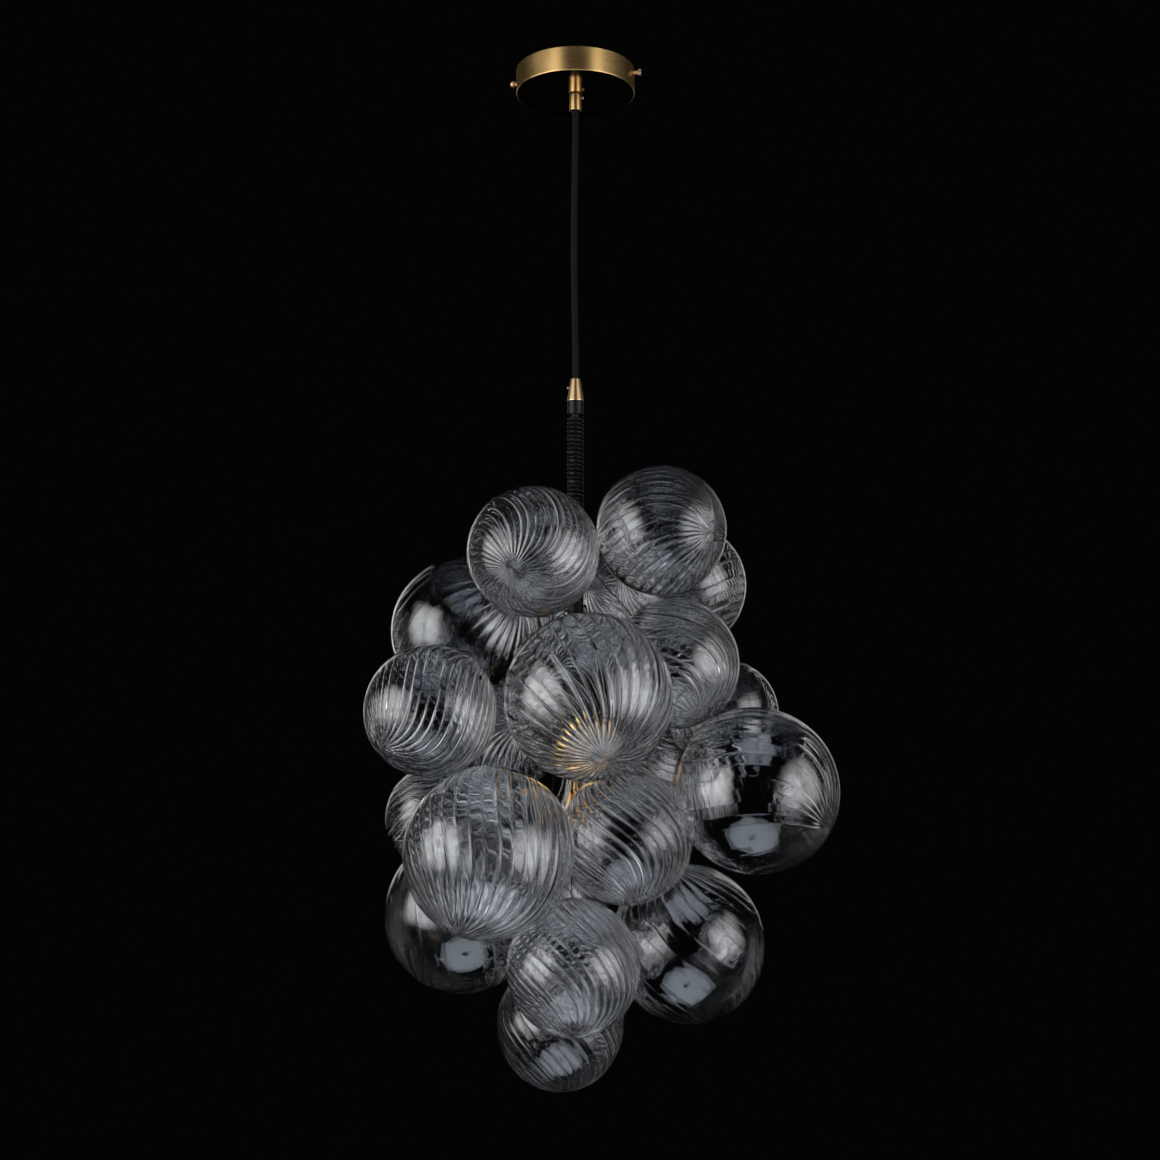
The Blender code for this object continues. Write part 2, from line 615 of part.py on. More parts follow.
def make_lampholder(cluster):
    radius = HOLDER_DIAMETER / 2
    inner = radius - HOLDER_WALL
    hole = LOWER_SPIGOT_DIAMETER / 2 + SEAT_GAP
    shoulder_z = HOLDER_TOP_Z - HOLDER_SHOULDER
    inner_shoulder = HOLDER_SHOULDER - HOLDER_WALL
    profile = [(hole, HOLDER_TOP_Z)]
    profile += arc(radius - HOLDER_SHOULDER, shoulder_z, HOLDER_SHOULDER, 90, 0, 3)
    profile += [(radius, HOLDER_FOOT_Z), (inner, HOLDER_FOOT_Z)]
    profile += arc(radius - HOLDER_SHOULDER, shoulder_z, inner_shoulder, 0, 90, 3)
    profile += [(hole, HOLDER_TOP_Z - HOLDER_WALL)]
    turned("lampholder_cup", profile, BRASS, cluster, 28)

    outer = inner - SEAT_GAP
    socket = BASE_DIAMETER / 2 + SEAT_GAP
    top = HOLDER_TOP_Z - INSERT_HEADROOM
    foot = HOLDER_FOOT_Z + INSERT_RECESS
    ceiling_z = BASE_TOP_Z + SEAT_GAP
    profile = [(0, top), (outer, top), (outer, foot), (socket, foot), (socket, ceiling_z)]
    profile += [(0, ceiling_z)]
    turned("lampholder_insert", profile, PORCELAIN, cluster, 24, closed=False)


def bulb_outline(wall):
    """The bulb's outline from its neck down to the axis, drawn in by a wall."""
    neck = BULB_NECK_DIAMETER / 2
    radius = BULB_DIAMETER / 2
    neck_z = BASE_FOOT_Z - SEAT_GAP
    foot_z = neck_z - BULB_LENGTH
    middle_z = foot_z + radius
    neck_steps = 4
    points = []
    for step in range(neck_steps):
        share = step / neck_steps
        swell = (1 - math.cos(math.pi * share)) / 2
        points.append((neck + (radius - neck) * swell - wall, neck_z + (middle_z - neck_z) * share))
    return points + arc(0, middle_z, radius - wall, 0, -90, 6)


def make_bulb(lamp):
    radius = BASE_DIAMETER / 2
    contact = CONTACT_DIAMETER / 2
    mount = MOUNT_DIAMETER / 2
    mount_foot = BASE_FOOT_Z - MOUNT_LENGTH
    profile = [(0, BASE_TOP_Z), (contact, BASE_TOP_Z), (contact, BASE_TOP_Z - CONTACT_HEIGHT)]
    profile += [(radius, BASE_TOP_Z - CONTACT_HEIGHT - BASE_SHOULDER), (radius, BASE_FOOT_Z)]
    profile += [(mount, BASE_FOOT_Z), (MOUNT_TIP_DIAMETER / 2, mount_foot), (0, mount_foot)]
    turned("bulb_base", profile, BRASS, lamp, 24, closed=False)

    inside = list(reversed(bulb_outline(BULB_WALL)))
    turned("bulb_glass", inside + bulb_outline(0), BULB_GLASS, lamp, 16, closed=False)

    lead_z = mount_foot - SEAT_GAP
    bend_z = lead_z - FILAMENT_DIAMETER
    cage_top = bend_z - FILAMENT_LEAD_DROP
    points = [(Vector((FILAMENT_LEAD_SPREAD, 0, z)), 1) for z in (lead_z, bend_z)]
    for stroke in range(FILAMENT_STROKES + 1):
        low = stroke % 2
        angle = math.tau * (stroke + 0.5) / (FILAMENT_STROKES + 1)
        reach = FILAMENT_BOTTOM_RADIUS if low else FILAMENT_TOP_RADIUS
        z = cage_top - FILAMENT_HEIGHT * low
        points.append((Vector((reach * math.cos(angle), reach * math.sin(angle), z)), 1))
    points += [(Vector((-FILAMENT_LEAD_SPREAD, 0, z)), 1) for z in (bend_z, lead_z)]
    wire("bulb_filament", points, FILAMENT_DIAMETER, FILAMENT, lamp, 1)


def globe_radius(row):
    return row[0] * row[1] / 2


def row_centres():
    """Each globe's centre in shares of the pitch, the last one balancing all the others."""
    centres = [Vector(row[2]) for row in GLOBE_ROW_SHARES]
    weights = [globe_radius(row) ** 2 for row in GLOBE_ROW_SHARES]
    pull = Vector((0, 0, 0))
    for centre, weight in zip(centres[:-1], weights[:-1]):
        pull += centre * weight
    centres[-1].x = -pull.x / weights[-1]
    centres[-1].y = -pull.y / weights[-1]
    return centres


def cluster_pitch(centres):
    """The least pitch that keeps each globe clear of its neighbours and of the stem and lamp."""
    radii = [globe_radius(row) for row in GLOBE_ROW_SHARES]
    core = max(STEM_DIAMETER, HOLDER_DIAMETER, BULB_DIAMETER) / 2
    pitch = 0
    for i, centre in enumerate(centres):
        for j in range(i):
            apart = (centre - centres[j]).length
            pitch = max(pitch, (radii[i] + radii[j] + GLOBE_GAP) / apart)
        off_axis = centre.to_2d().length
        if off_axis > UNDER_LAMP_SHARE:
            pitch = max(pitch, (radii[i] + core + CORE_CLEARANCE) / off_axis)
    return pitch


def globe_mesh(name, radius):
    """A blown ball with its neck at +Z. The rings of a round ball are slid so that the first
    closes in on the neck hole, then every second column is drawn in and all are twisted."""
    columns = 2 * RIB_COUNT
    neck = math.asin(NECK_HOLE / 2 / radius)
    shape = bmesh.new()
    bmesh.ops.create_uvsphere(shape, u_segments=columns, v_segments=GLOBE_BANDS, radius=radius)
    top = max(shape.verts, key=lambda corner: corner.co.z)
    bmesh.ops.delete(shape, geom=[top], context="VERTS")
    for corner in shape.verts:
        ring = round(math.acos(max(-1, min(1, corner.co.z / radius))) * GLOBE_BANDS / math.pi)
        column = round(math.atan2(corner.co.y, corner.co.x) * columns / math.tau)
        down = neck + (math.pi - neck) * (ring - 1) / (GLOBE_BANDS - 1)
        round_by = math.tau * column / columns + GLOBE_TWIST * down / math.pi
        drawn = radius - RIB_DEPTH * (column % 2) * math.sin(down) ** 2
        level = drawn * math.sin(down)
        corner.co = (level * math.cos(round_by), level * math.sin(round_by), drawn * math.cos(down))
    mesh = bpy.data.meshes.new(name)
    shape.to_mesh(mesh)
    shape.free()
    mesh.shade_smooth()
    return mesh


def make_globes(cluster):
    centres = row_centres()
    pitch = cluster_pitch(centres)
    foot = Vector((0, 0, STEM_FOOT_Z))
    for number, (row, share) in enumerate(zip(GLOBE_ROW_SHARES, centres), 1):
        centre = foot + share * pitch
        knot_z = STEM_FOOT_Z + row[3] * pitch
        detour = TIE_DETOUR_SHARES.get(number)
        bend = foot + Vector(detour) * pitch if detour else None
        out = (bend or centre).to_2d().normalized().to_3d()
        seat = out * (STEM_RADIUS + SEAT_GAP) + Vector((0, 0, knot_z))
        route = [seat, seat + out * KNOT_LENGTH] + ([bend] if bend else [])
        neck = (route[-1] - centre).normalized()
        make_globe(f"globe_{number:02d}", globe_radius(row), centre, neck, cluster)
        make_tie(f"tie_{number:02d}", globe_radius(row), centre, neck, route, cluster)


def make_globe(name, radius, centre, neck, cluster):
    globe = add_piece(name, globe_mesh(name, radius), GLOBE_GLASS, cluster, centre, toward(neck))
    wall = globe.modifiers.new("glass_wall", "SOLIDIFY")
    wall.thickness = GLASS_WALL
    wall.offset = -1


def make_tie(name, radius, centre, neck, route, cluster):
    """A taut cord from its knot at the stem, through the neck hole, to the bead inside."""
    thin = 1
    knot_share = KNOT_DIAMETER / TIE_DIAMETER
    bead_share = BEAD_DIAMETER / TIE_DIAMETER
    rim = radius * math.cos(math.asin(NECK_HOLE / 2 / radius)) - GLASS_WALL
    rise = BEAD_TAPER * (NECK_HOLE - TIE_DIAMETER) / (BEAD_DIAMETER - TIE_DIAMETER)
    bead_top = rim - BEAD_SEAT + rise
    bead = bead_top - BEAD_TAPER
    target = route[2] if len(route) > 2 else centre
    taper_end = route[1] + (target - route[1]).normalized() * KNOT_TAPER
    points = [(route[0], knot_share), (route[1], knot_share), (taper_end, thin)]
    points += [(bend, thin) for bend in route[2:]]
    points.append((centre + neck * bead_top, thin))
    points.append((centre + neck * bead, bead_share))
    points.append((centre + neck * (bead - BEAD_LENGTH), bead_share))
    points.append((centre + neck * (bead - BEAD_LENGTH - BEAD_TAPER), thin))
    wire(name, points, TIE_DIAMETER, TEXTILE, cluster, 1)


def main():
    ceiling = pivot("ceiling", (0, 0, 0))
    swing = pivot("cord_swing", (0, 0, PIVOT_Z), ceiling)
    coupler = pivot("coupler_swing", (0, 0, CONE_TOP_Z), swing)
    cluster = pivot("cluster_turn", (0, 0, CONE_BOTTOM_Z), coupler)
    lamp = pivot("bulb_turn", (0, 0, BASE_FOOT_Z), cluster)
    make_canopy(ceiling)
    make_crossbar(ceiling)
    make_side_screw("side_screw_left", ceiling, -1)
    make_side_screw("side_screw_right", ceiling, 1)
    make_grip(ceiling)
    make_terminal(ceiling)
    make_ceiling_lead(ceiling)
    make_cord(swing)
    make_cone(coupler)
    make_stem(cluster)
    make_wrap(cluster)
    make_lampholder(cluster)
    make_bulb(lamp)
    make_globes(cluster)


main()
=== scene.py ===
import math
import random

import bpy
import numpy as np
from mathutils import Matrix, Vector


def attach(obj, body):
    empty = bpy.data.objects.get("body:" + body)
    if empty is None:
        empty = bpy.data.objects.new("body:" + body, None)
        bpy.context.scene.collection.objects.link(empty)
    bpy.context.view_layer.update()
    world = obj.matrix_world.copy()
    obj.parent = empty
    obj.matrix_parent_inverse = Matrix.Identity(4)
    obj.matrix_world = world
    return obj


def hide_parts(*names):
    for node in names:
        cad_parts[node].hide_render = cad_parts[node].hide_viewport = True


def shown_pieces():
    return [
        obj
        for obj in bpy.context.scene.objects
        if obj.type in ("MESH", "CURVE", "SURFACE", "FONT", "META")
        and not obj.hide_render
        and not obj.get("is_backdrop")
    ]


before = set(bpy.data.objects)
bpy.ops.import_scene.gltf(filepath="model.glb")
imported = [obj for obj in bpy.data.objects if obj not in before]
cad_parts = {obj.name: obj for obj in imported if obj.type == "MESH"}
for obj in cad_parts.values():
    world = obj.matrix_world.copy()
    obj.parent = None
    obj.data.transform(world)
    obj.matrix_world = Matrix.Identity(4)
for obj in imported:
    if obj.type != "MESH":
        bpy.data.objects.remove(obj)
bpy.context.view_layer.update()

# Sizes in metres, as in the part's source. +Z is up, and the camera looks along +Y.
SEAT_GAP = 0.0003
SWING_GAP = 0.0004
TINY = 1e-6
CANOPY_DIAMETER = 0.120
CANOPY_HEIGHT = 0.0232
CANOPY_WALL = 0.0012
CANOPY_EDGE = 0.0016
BAR_TURN = math.radians(-13)
BAR_THICKNESS = 0.002
BAR_END_CLEARANCE = 0.0025
SIDE_SCREW_DIAMETER = 0.004
SIDE_SCREW_DROP = 0.0068
SIDE_SCREW_TIP = 0.003
SIDE_SCREW_STANDOFF = 0.0045
SIDE_SCREW_HEAD_DIAMETER = 0.0068
SIDE_SCREW_HEAD_LENGTH = 0.0034
NIPPLE_DIAMETER = 0.009
NIPPLE_ENGAGEMENT = 0.0075
GRIP_DIAMETER = 0.0124
GRIP_LENGTH = 0.0165
GRIP_EDGE = 0.0005
GRIP_SCREW_DROP = 0.003
SET_SCREW_DIAMETER = 0.0022
SET_SCREW_HEAD_DIAMETER = 0.003
SET_SCREW_HEAD_LENGTH = 0.0014
SET_SCREW_PROUD = 0.0008
CORD_DIAMETER = 0.0068
CORD_DROP = 0.272
CORD_BOW = 0.0015
CORD_END_ANGLES = (20, 40, 58, 72, 82)
LEAD_DIAMETER = 0.0036
LEAD_BEND = 0.009
TERMINAL_LENGTH = 0.020
TERMINAL_HEIGHT = 0.010
TERMINAL_LUG_GAP = 0.014
TERMINAL_SCREW_DIAMETER = 0.0036
TERMINAL_SCREW_DEPTH = 0.004
TERMINAL_SCREW_SPACING = 0.009
CONE_TOP_DIAMETER = 0.0096
CONE_BOTTOM_DIAMETER = 0.0171
CONE_HEIGHT = 0.0227
CONE_EDGE = 0.001
CONE_SCREW_DROP = 0.0095
SPIGOT_DIAMETER = 0.0076
SPIGOT_LENGTH = 0.0165
STEM_DIAMETER = 0.0166
STEM_LENGTH = 0.3185
STEM_BAND = 0.0132
LOWER_SPIGOT_DIAMETER = 0.010
LOWER_SPIGOT_LENGTH = 0.008
WRAP_DIAMETER = 0.0038
WRAP_PITCH = 0.0044
WRAP_LOOPS = 20
WRAP_POINTS_PER_LOOP = 10
HOLDER_DIAMETER = 0.040
HOLDER_HEIGHT = 0.058
HOLDER_WALL = 0.0012
HOLDER_SHOULDER = 0.008
INSERT_HEADROOM = 0.0112
INSERT_RECESS = 0.0015
BASE_DIAMETER = 0.026
BASE_HEIGHT = 0.026
BASE_SHOULDER = 0.004
CONTACT_DIAMETER = 0.009
CONTACT_HEIGHT = 0.002
MOUNT_DIAMETER = 0.008
MOUNT_TIP_DIAMETER = 0.006
MOUNT_LENGTH = 0.016
BULB_DIAMETER = 0.045
BULB_NECK_DIAMETER = 0.025
BULB_LENGTH = 0.065
BULB_WALL = 0.001
FILAMENT_DIAMETER = 0.0014
FILAMENT_STROKES = 9
FILAMENT_HEIGHT = 0.026
FILAMENT_TOP_RADIUS = 0.0062
FILAMENT_BOTTOM_RADIUS = 0.0115
FILAMENT_LEAD_SPREAD = 0.0019
FILAMENT_LEAD_DROP = 0.0025
SMALL_GLOBE = 0.125
LARGE_GLOBE = 0.155
GLOBE_GAP = 0.0015
CORE_CLEARANCE = 0.002
GLASS_WALL = 0.002
NECK_HOLE = 0.005
TIE_DIAMETER = 0.0012
KNOT_DIAMETER = 0.003
KNOT_LENGTH = 0.0028
BEAD_DIAMETER = 0.0078
BEAD_LENGTH = 0.003
BEAD_TAPER = 0.002
BEAD_SEAT = 0.0004

# The source's rows: nominal size, share it was blown to, centre in shares of the cluster's
# pitch from the stem's foot, and the height of its tie's knot in the same shares.
GLOBE_ROW_SHARES = (
    (SMALL_GLOBE, 0.985, (-0.39, -1.08, 1.62), 1.93),
    (SMALL_GLOBE, 1.000, (0.81, -0.75, 1.83), 1.89),
    (SMALL_GLOBE, 1.090, (1.11, 0.46, 1.30), 1.70),
    (LARGE_GLOBE, 1.020, (-1.18, 0.70, 0.82), 1.50),
    (SMALL_GLOBE, 1.025, (-1.39, -0.62, 0.11), 1.05),
    (LARGE_GLOBE, 0.955, (0.11, -1.72, 0.35), 1.35),
    (SMALL_GLOBE, 1.010, (0.94, -0.63, 0.56), 1.55),
    (SMALL_GLOBE, 0.965, (1.59, 0.84, -0.08), 0.90),
    (LARGE_GLOBE, 0.965, (1.61, -1.38, -0.52), 0.20),
    (LARGE_GLOBE, 0.995, (-0.77, -1.45, -1.06), 0.65),
    (SMALL_GLOBE, 1.030, (-1.61, 2.08, -1.45), 0.95),
    (LARGE_GLOBE, 1.040, (-1.15, 0.18, -2.04), 1.00),
    (SMALL_GLOBE, 1.010, (0.48, -0.78, -1.07), 0.75),
    (LARGE_GLOBE, 0.990, (1.11, -0.24, -2.23), 1.10),
    (SMALL_GLOBE, 0.995, (-0.02, -1.08, -2.20), 1.60),
    (SMALL_GLOBE, 1.020, (-0.15, -0.16, -3.06), 1.75),
    (SMALL_GLOBE, 0.995, (0.20, 1.48, 1.03), 1.75),
    (SMALL_GLOBE, 1.010, (-0.85, 1.66, -0.50), 0.38),
    (SMALL_GLOBE, 0.990, (0.77, 1.56, -0.80), 0.85),
    (LARGE_GLOBE, 1.000, (0.00, 0.00, -2.32), 1.25),
)
TIE_DETOUR_SHARES = {
    11: (-0.60, 1.10, -1.36),
    15: (-0.04, -0.40, -1.30),
    16: (-0.26, 0.31, -1.10),
}
UNDER_LAMP_SHARE = 0.5

PIVOT_Z = -CANOPY_HEIGHT - SEAT_GAP - GRIP_LENGTH
CONE_TOP_Z = PIVOT_Z - CORD_DROP
CONE_BOTTOM_Z = CONE_TOP_Z - CONE_HEIGHT
STEM_TOP_Z = CONE_BOTTOM_Z - SEAT_GAP
STEM_FOOT_Z = STEM_TOP_Z - STEM_LENGTH
HOLDER_TOP_Z = STEM_FOOT_Z - SEAT_GAP
HOLDER_FOOT_Z = HOLDER_TOP_Z - HOLDER_HEIGHT
BASE_FOOT_Z = HOLDER_FOOT_Z - SEAT_GAP
BASE_TOP_Z = BASE_FOOT_Z + BASE_HEIGHT
CORD_RADIUS = CORD_DIAMETER / 2
LEAD_HOLE_RADIUS = LEAD_DIAMETER / 2 + SEAT_GAP
CORD_POCKET = CORD_RADIUS + SWING_GAP
STEM_RADIUS = STEM_DIAMETER / 2
WRAP_RADIUS = WRAP_DIAMETER / 2
WRAP_CENTRE = STEM_RADIUS - WRAP_RADIUS
CORE_RADIUS = WRAP_CENTRE * math.cos(math.pi / WRAP_POINTS_PER_LOOP) - WRAP_RADIUS - SEAT_GAP
WRAP_TURN = WRAP_DIAMETER * 1.3
WRAP_HEIGHT = WRAP_LOOPS * WRAP_PITCH + 2 * (WRAP_TURN + WRAP_DIAMETER)
WRAP_TOP_Z = STEM_TOP_Z - STEM_BAND
WRAP_FOOT_Z = WRAP_TOP_Z - WRAP_HEIGHT - 2 * SEAT_GAP
LUG_INSIDE = CANOPY_DIAMETER / 2 - CANOPY_WALL - BAR_END_CLEARANCE - BAR_THICKNESS
TERMINAL_OFFSET = LUG_INSIDE - TERMINAL_LUG_GAP - TERMINAL_LENGTH / 2
BAR_AXIS = Vector((math.cos(BAR_TURN), math.sin(BAR_TURN), 0))
LAID = Matrix.Rotation(math.pi / 2, 4, "X")

# The photograph's view
CAMERA_PLACE = (0, -1.220, -0.5165)
CAMERA_LENS = 37.24
CAMERA_SENSOR = 36
CAMERA_SHIFT = 0.0039

# Ribs of the blown globes: rounded, with a narrow crease between two of them. The columns of
# points are set closer together near the crease, in shares of a rib.
RIBS = 36
COLUMN_SHARES = (0, 0.035, 0.08, 0.14, 0.25, 0.5, 0.75, 0.86, 0.92, 0.965)
GLOBE_ROWS = 64
OUTER_CREASE = 0.00034
INNER_CREASE = 0.00040
OUTER_CREASE_WIDTH = 0.065
INNER_CREASE_WIDTH = 0.095
RIB_ROUND = 0.00005
WAVE = 0.00030
# The glass in shares of its thickness: its side, what far pole and neck add to that, its lip.
SIDE_GLASS = 0.86
POLE_GLASS = 0.55
NECK_GLASS = 0.28
LIP_GLASS = 1.15
# How much slower the twist runs near neck and far pole.
TWIST_EASE = 0.13
# Globes with ribs fainter than this are lumpier all over.
FAINT_RIBS = 0.4
FAINT_LUMPS = 1.2
# Degrees of twist from neck to far pole and strength of the ribs, read from the photograph.
# The others get the first pair.
RIB_LOOKS = {
    0: (80, 1.15), 1: (125, 1.00), 2: (70, 1.45), 3: (85, 0.80), 4: (50, 0.22), 5: (80, 1.10),
    6: (38, 0.95), 8: (60, 0.25), 9: (70, 0.30), 10: (48, 1.20), 12: (60, 0.36), 13: (80, 1.30),
    14: (70, 0.34), 15: (105, 1.50), 16: (90, 0.90),
}
# Far poles that the photograph shows, where they aren't opposite the neck: across the picture,
# away from the camera, up.
FAR_POLES = {
    1: (-0.26, -0.93, -0.27),
    2: (0.70, -0.71, -0.06),
    5: (-0.61, -0.63, -0.48),
    6: (0.18, -0.76, -0.62),
    7: (0.30, -0.58, -0.76),
    10: (-0.30, -0.49, -0.82),
    13: (0.09, -0.56, -0.82),
    15: (-0.02, -0.49, -0.87),
}


def make_camera():
    data = bpy.data.cameras.new("camera")
    data.lens = CAMERA_LENS
    data.sensor_width = CAMERA_SENSOR
    data.shift_x = CAMERA_SHIFT
    camera = bpy.data.objects.new("camera", data)
    camera.location = CAMERA_PLACE
    camera.rotation_euler = (math.pi / 2, 0, 0)
    bpy.context.scene.collection.objects.link(camera)
    bpy.context.scene.camera = camera


make_camera()


# Materials

class Tree:
    """Short ways to build the nodes of a material, a lamp or a world."""

    def __init__(self, owner):
        owner.use_nodes = True
        self.tree = owner.node_tree

    def feed(self, node, inputs):
        """Sets or links a node's inputs, which are given by name or number."""
        for key, value in inputs.items():
            socket = node.inputs[key]
            if isinstance(value, bpy.types.NodeSocket):
                self.tree.links.new(value, socket)
            elif socket.type == "RGBA":
                socket.default_value = (*value, 1)
            else:
                socket.default_value = value

    def node(self, kind, inputs=None, **settings):
        made = self.tree.nodes.new(kind)
        for name, value in settings.items():
            setattr(made, name, value)
        self.feed(made, inputs or {})
        return made

    def math(self, operation, *values):
        return self.node("ShaderNodeMath", dict(enumerate(values)), operation=operation).outputs[0]


class Finish(Tree):
    """A material, with noises in the piece's own coordinates."""

    def __init__(self, name):
        self.material = bpy.data.materials.new(name)
        super().__init__(self.material)
        self.object = self.node("ShaderNodeTexCoord").outputs["Object"]

    def done(self, **values):
        """The material, with its shader's inputs set."""
        inputs = {name.replace("_", " "): value for name, value in values.items()}
        self.feed(self.tree.nodes["Principled BSDF"], inputs)
        return self.material

    def noise(self, scale, detail, vector=None, roughness=0.55):
        inputs = {"Vector": vector or self.object, "Scale": scale, "Detail": detail,
                  "Roughness": roughness}
        return self.node("ShaderNodeTexNoise", inputs).outputs["Fac"]

    def blend(self, share, first, second):
        inputs = {0: share, 6: first, 7: second}
        return self.node("ShaderNodeMix", inputs, data_type="RGBA").outputs[2]

    def ranged(self, value, low, high):
        """A noise's middle part, spread from low to high."""
        inputs = dict(enumerate((value, 0.3, 0.7, low, high)))
        return self.node("ShaderNodeMapRange", inputs).outputs[0]

    def bump(self, height, strength, distance):
        inputs = {"Strength": strength, "Distance": distance, "Height": height}
        return self.node("ShaderNodeBump", inputs).outputs["Normal"]

    def turned_lines(self, fineness, slant=1.7):
        """Coordinates in which noise runs round the piece's own axis as fine turning lines, on
        its walls and, by their slant, on its flat faces."""
        x, y, z = self.node("ShaderNodeSeparateXYZ", {0: self.object}).outputs
        squares = self.math("ADD", self.math("MULTIPLY", x, x), self.math("MULTIPLY", y, y))
        slanted = self.math("MULTIPLY", self.math("SQRT", squares), slant)
        run = self.math("MULTIPLY", self.math("ADD", z, slanted), fineness)
        return self.node("ShaderNodeCombineXYZ", {0: x, 1: y, 2: run}).outputs[0]


def brass(name, rough, lines, pale=0.0):
    """Turned brass: fine lines round the axis, and slow changes of tone and gloss."""

    def toned(warm, dull):
        return tuple(a + (b - a) * pale for a, b in zip(warm, dull))

    made = Finish(name)
    fine = made.noise(55, 5, made.turned_lines(90), 0.7)
    slow = made.noise(38, 3)
    warm = made.blend(made.ranged(slow, 0, 1), toned((0.70, 0.42, 0.145), (0.40, 0.29, 0.16)),
                      toned((0.78, 0.49, 0.185), (0.45, 0.34, 0.20)))
    tone = made.blend(made.ranged(fine, 0, lines), warm,
                      toned((0.84, 0.58, 0.27), (0.50, 0.40, 0.26)))
    gloss = made.math("ADD", made.ranged(fine, -rough * 0.12, rough * 0.12),
                      made.ranged(slow, rough * 0.95, rough * 1.1))
    tangent = made.node("ShaderNodeTangent", direction_type="RADIAL", axis="Z").outputs[0]
    return made.done(Base_Color=tone, Metallic=1.0, Roughness=gloss, Tangent=tangent,
                     Anisotropic=0.35 if lines > 0.2 else 0.1,
                     Normal=made.bump(fine, 0.05 * lines + 0.01, 0.00004))


def textile(name, low, high, rough, scale):
    made = Finish(name)
    thread = made.noise(scale, 5, roughness=0.7)
    colour = made.blend(made.ranged(thread, 0, 1), low, high)
    worn = made.blend(made.ranged(made.noise(90, 3), 0, 0.35), colour, high)
    return made.done(Base_Color=worn, Roughness=rough, Specular_IOR_Level=0.13, Sheen_Weight=0.01,
                     Sheen_Roughness=0.45, Sheen_Tint=(0.6, 0.6, 0.65),
                     Normal=made.bump(thread, 0.5, 0.00015))


def glass(name, colour, waviness):
    """Clear blown glass with faint streaks of its own in the surface."""
    made = Finish(name)
    stretched = made.node("ShaderNodeMapping", {"Vector": made.object, "Scale": (1, 1, 0.35)})
    streaks = made.noise(70, 2, stretched.outputs[0], 0.4)
    return made.done(Base_Color=colour, Roughness=0.0, IOR=1.5, Transmission_Weight=1.0,
                     Normal=made.bump(streaks, waviness, 0.0006))


def plain(name, low, high, rough, relief, noises, **settings):
    """A finish between two tones and two roughnesses, with relief as (strength, depth). The
    noises of tone, roughness and relief are given as (scale, detail)."""
    made = Finish(name)
    tone, gloss, grain = (made.noise(*noise) for noise in noises)
    return made.done(Base_Color=made.blend(tone, low, high), Roughness=made.ranged(gloss, *rough),
                     Normal=made.bump(grain, *relief), **settings)


BRUSHED = brass("brushed_brass", 0.28, 0.6)
POLISHED = brass("polished_brass", 0.12, 0.12, 0.9)
SATIN = brass("satin_brass", 0.31, 0.35, 0.7)
CUP_BRASS = brass("cup_brass", 0.16, 0.25, 0.4)
STEEL = plain("plated_steel", (0.34, 0.34, 0.33), (0.52, 0.52, 0.50), (0.28, 0.42), (0.08, 0.0001),
              ((60, 4), (60, 4), (900, 3)), Metallic=1.0)
BRAID = textile("black_textile", (0.0008, 0.0008, 0.0009), (0.0034, 0.0034, 0.0037), 0.70, 2600)
TWINE = textile("tie_textile", (0.0012, 0.0012, 0.0013), (0.0045, 0.0045, 0.0048), 0.65, 3600)
WOUND = textile("wound_cord", (0.0014, 0.0014, 0.0015), (0.0050, 0.0050, 0.0052), 0.33, 2200)
LACQUER = plain("black_lacquer", (0.0020, 0.0020, 0.0022), (0.0040, 0.0040, 0.0043), (0.34, 0.44),
                (0.06, 0.0001), ((45, 4), (45, 4), (700, 3)), Specular_IOR_Level=0.18)
JACKET = plain("lead_jacket", (0.020, 0.020, 0.021), (0.040, 0.040, 0.041), (0.45, 0.6),
               (0.1, 0.0001), ((150, 4), (300, 4), (1200, 4)))
PORCELAIN = plain("porcelain", (0.78, 0.76, 0.72), (0.86, 0.85, 0.82), (0.16, 0.3), (0.06, 0.0002),
                  ((70, 4), (120, 4), (260, 4)), Coat_Weight=0.5, Coat_Roughness=0.06)
POLYAMIDE = plain("polyamide", (0.74, 0.73, 0.67), (0.82, 0.81, 0.76), (0.42, 0.6), (0.1, 0.0001),
                  ((120, 4), (200, 4), (1500, 4)), Subsurface_Weight=0.1, Subsurface_Scale=0.002)
GLOBE_GLASS = glass("globe_glass", (0.985, 0.990, 1.0), 0.10)
BULB_GLASS = glass("bulb_glass", (1.0, 0.955, 0.87), 0.04)
FILAMENT = plain("amber_filament", (0.86, 0.40, 0.05), (0.95, 0.60, 0.13), (0.4, 0.65),
                 (0.2, 0.0001), ((1800, 3), (1800, 3), (1800, 3)),
                 Emission_Color=(1.0, 0.42, 0.06), Emission_Strength=0.35)


# Meshes

def lattice(rings, closed=False, start=None, end=None):
    """Points and faces over rings of points, each with the same count, that a fan may close."""
    rings = np.asarray(rings, float)
    count, columns = rings.shape[:2]
    points = rings.reshape(-1, 3)
    i = np.arange(count if closed else count - 1)[:, None]
    j = np.arange(columns)[None, :]
    after = (j + 1) % columns
    following = (i + 1) % count
    here, there = i * columns, following * columns
    corners = (here + j, here + after, there + after, there + j)
    quads = np.stack(np.broadcast_arrays(*corners), -1).reshape(-1, 4)
    fans = []
    j = np.arange(columns)
    for tip, ring, order in ((start, 0, 1), (end, count - 1, -1)):
        if tip is None:
            continue
        pair = (ring * columns + (j + 1) % columns, ring * columns + j)[::order]
        fans.append(np.stack([np.full(columns, len(points)), *pair], -1))
        points = np.vstack([points, np.asarray(tip, float)[None]])
    return points, quads, np.vstack(fans) if fans else np.zeros((0, 3), int)


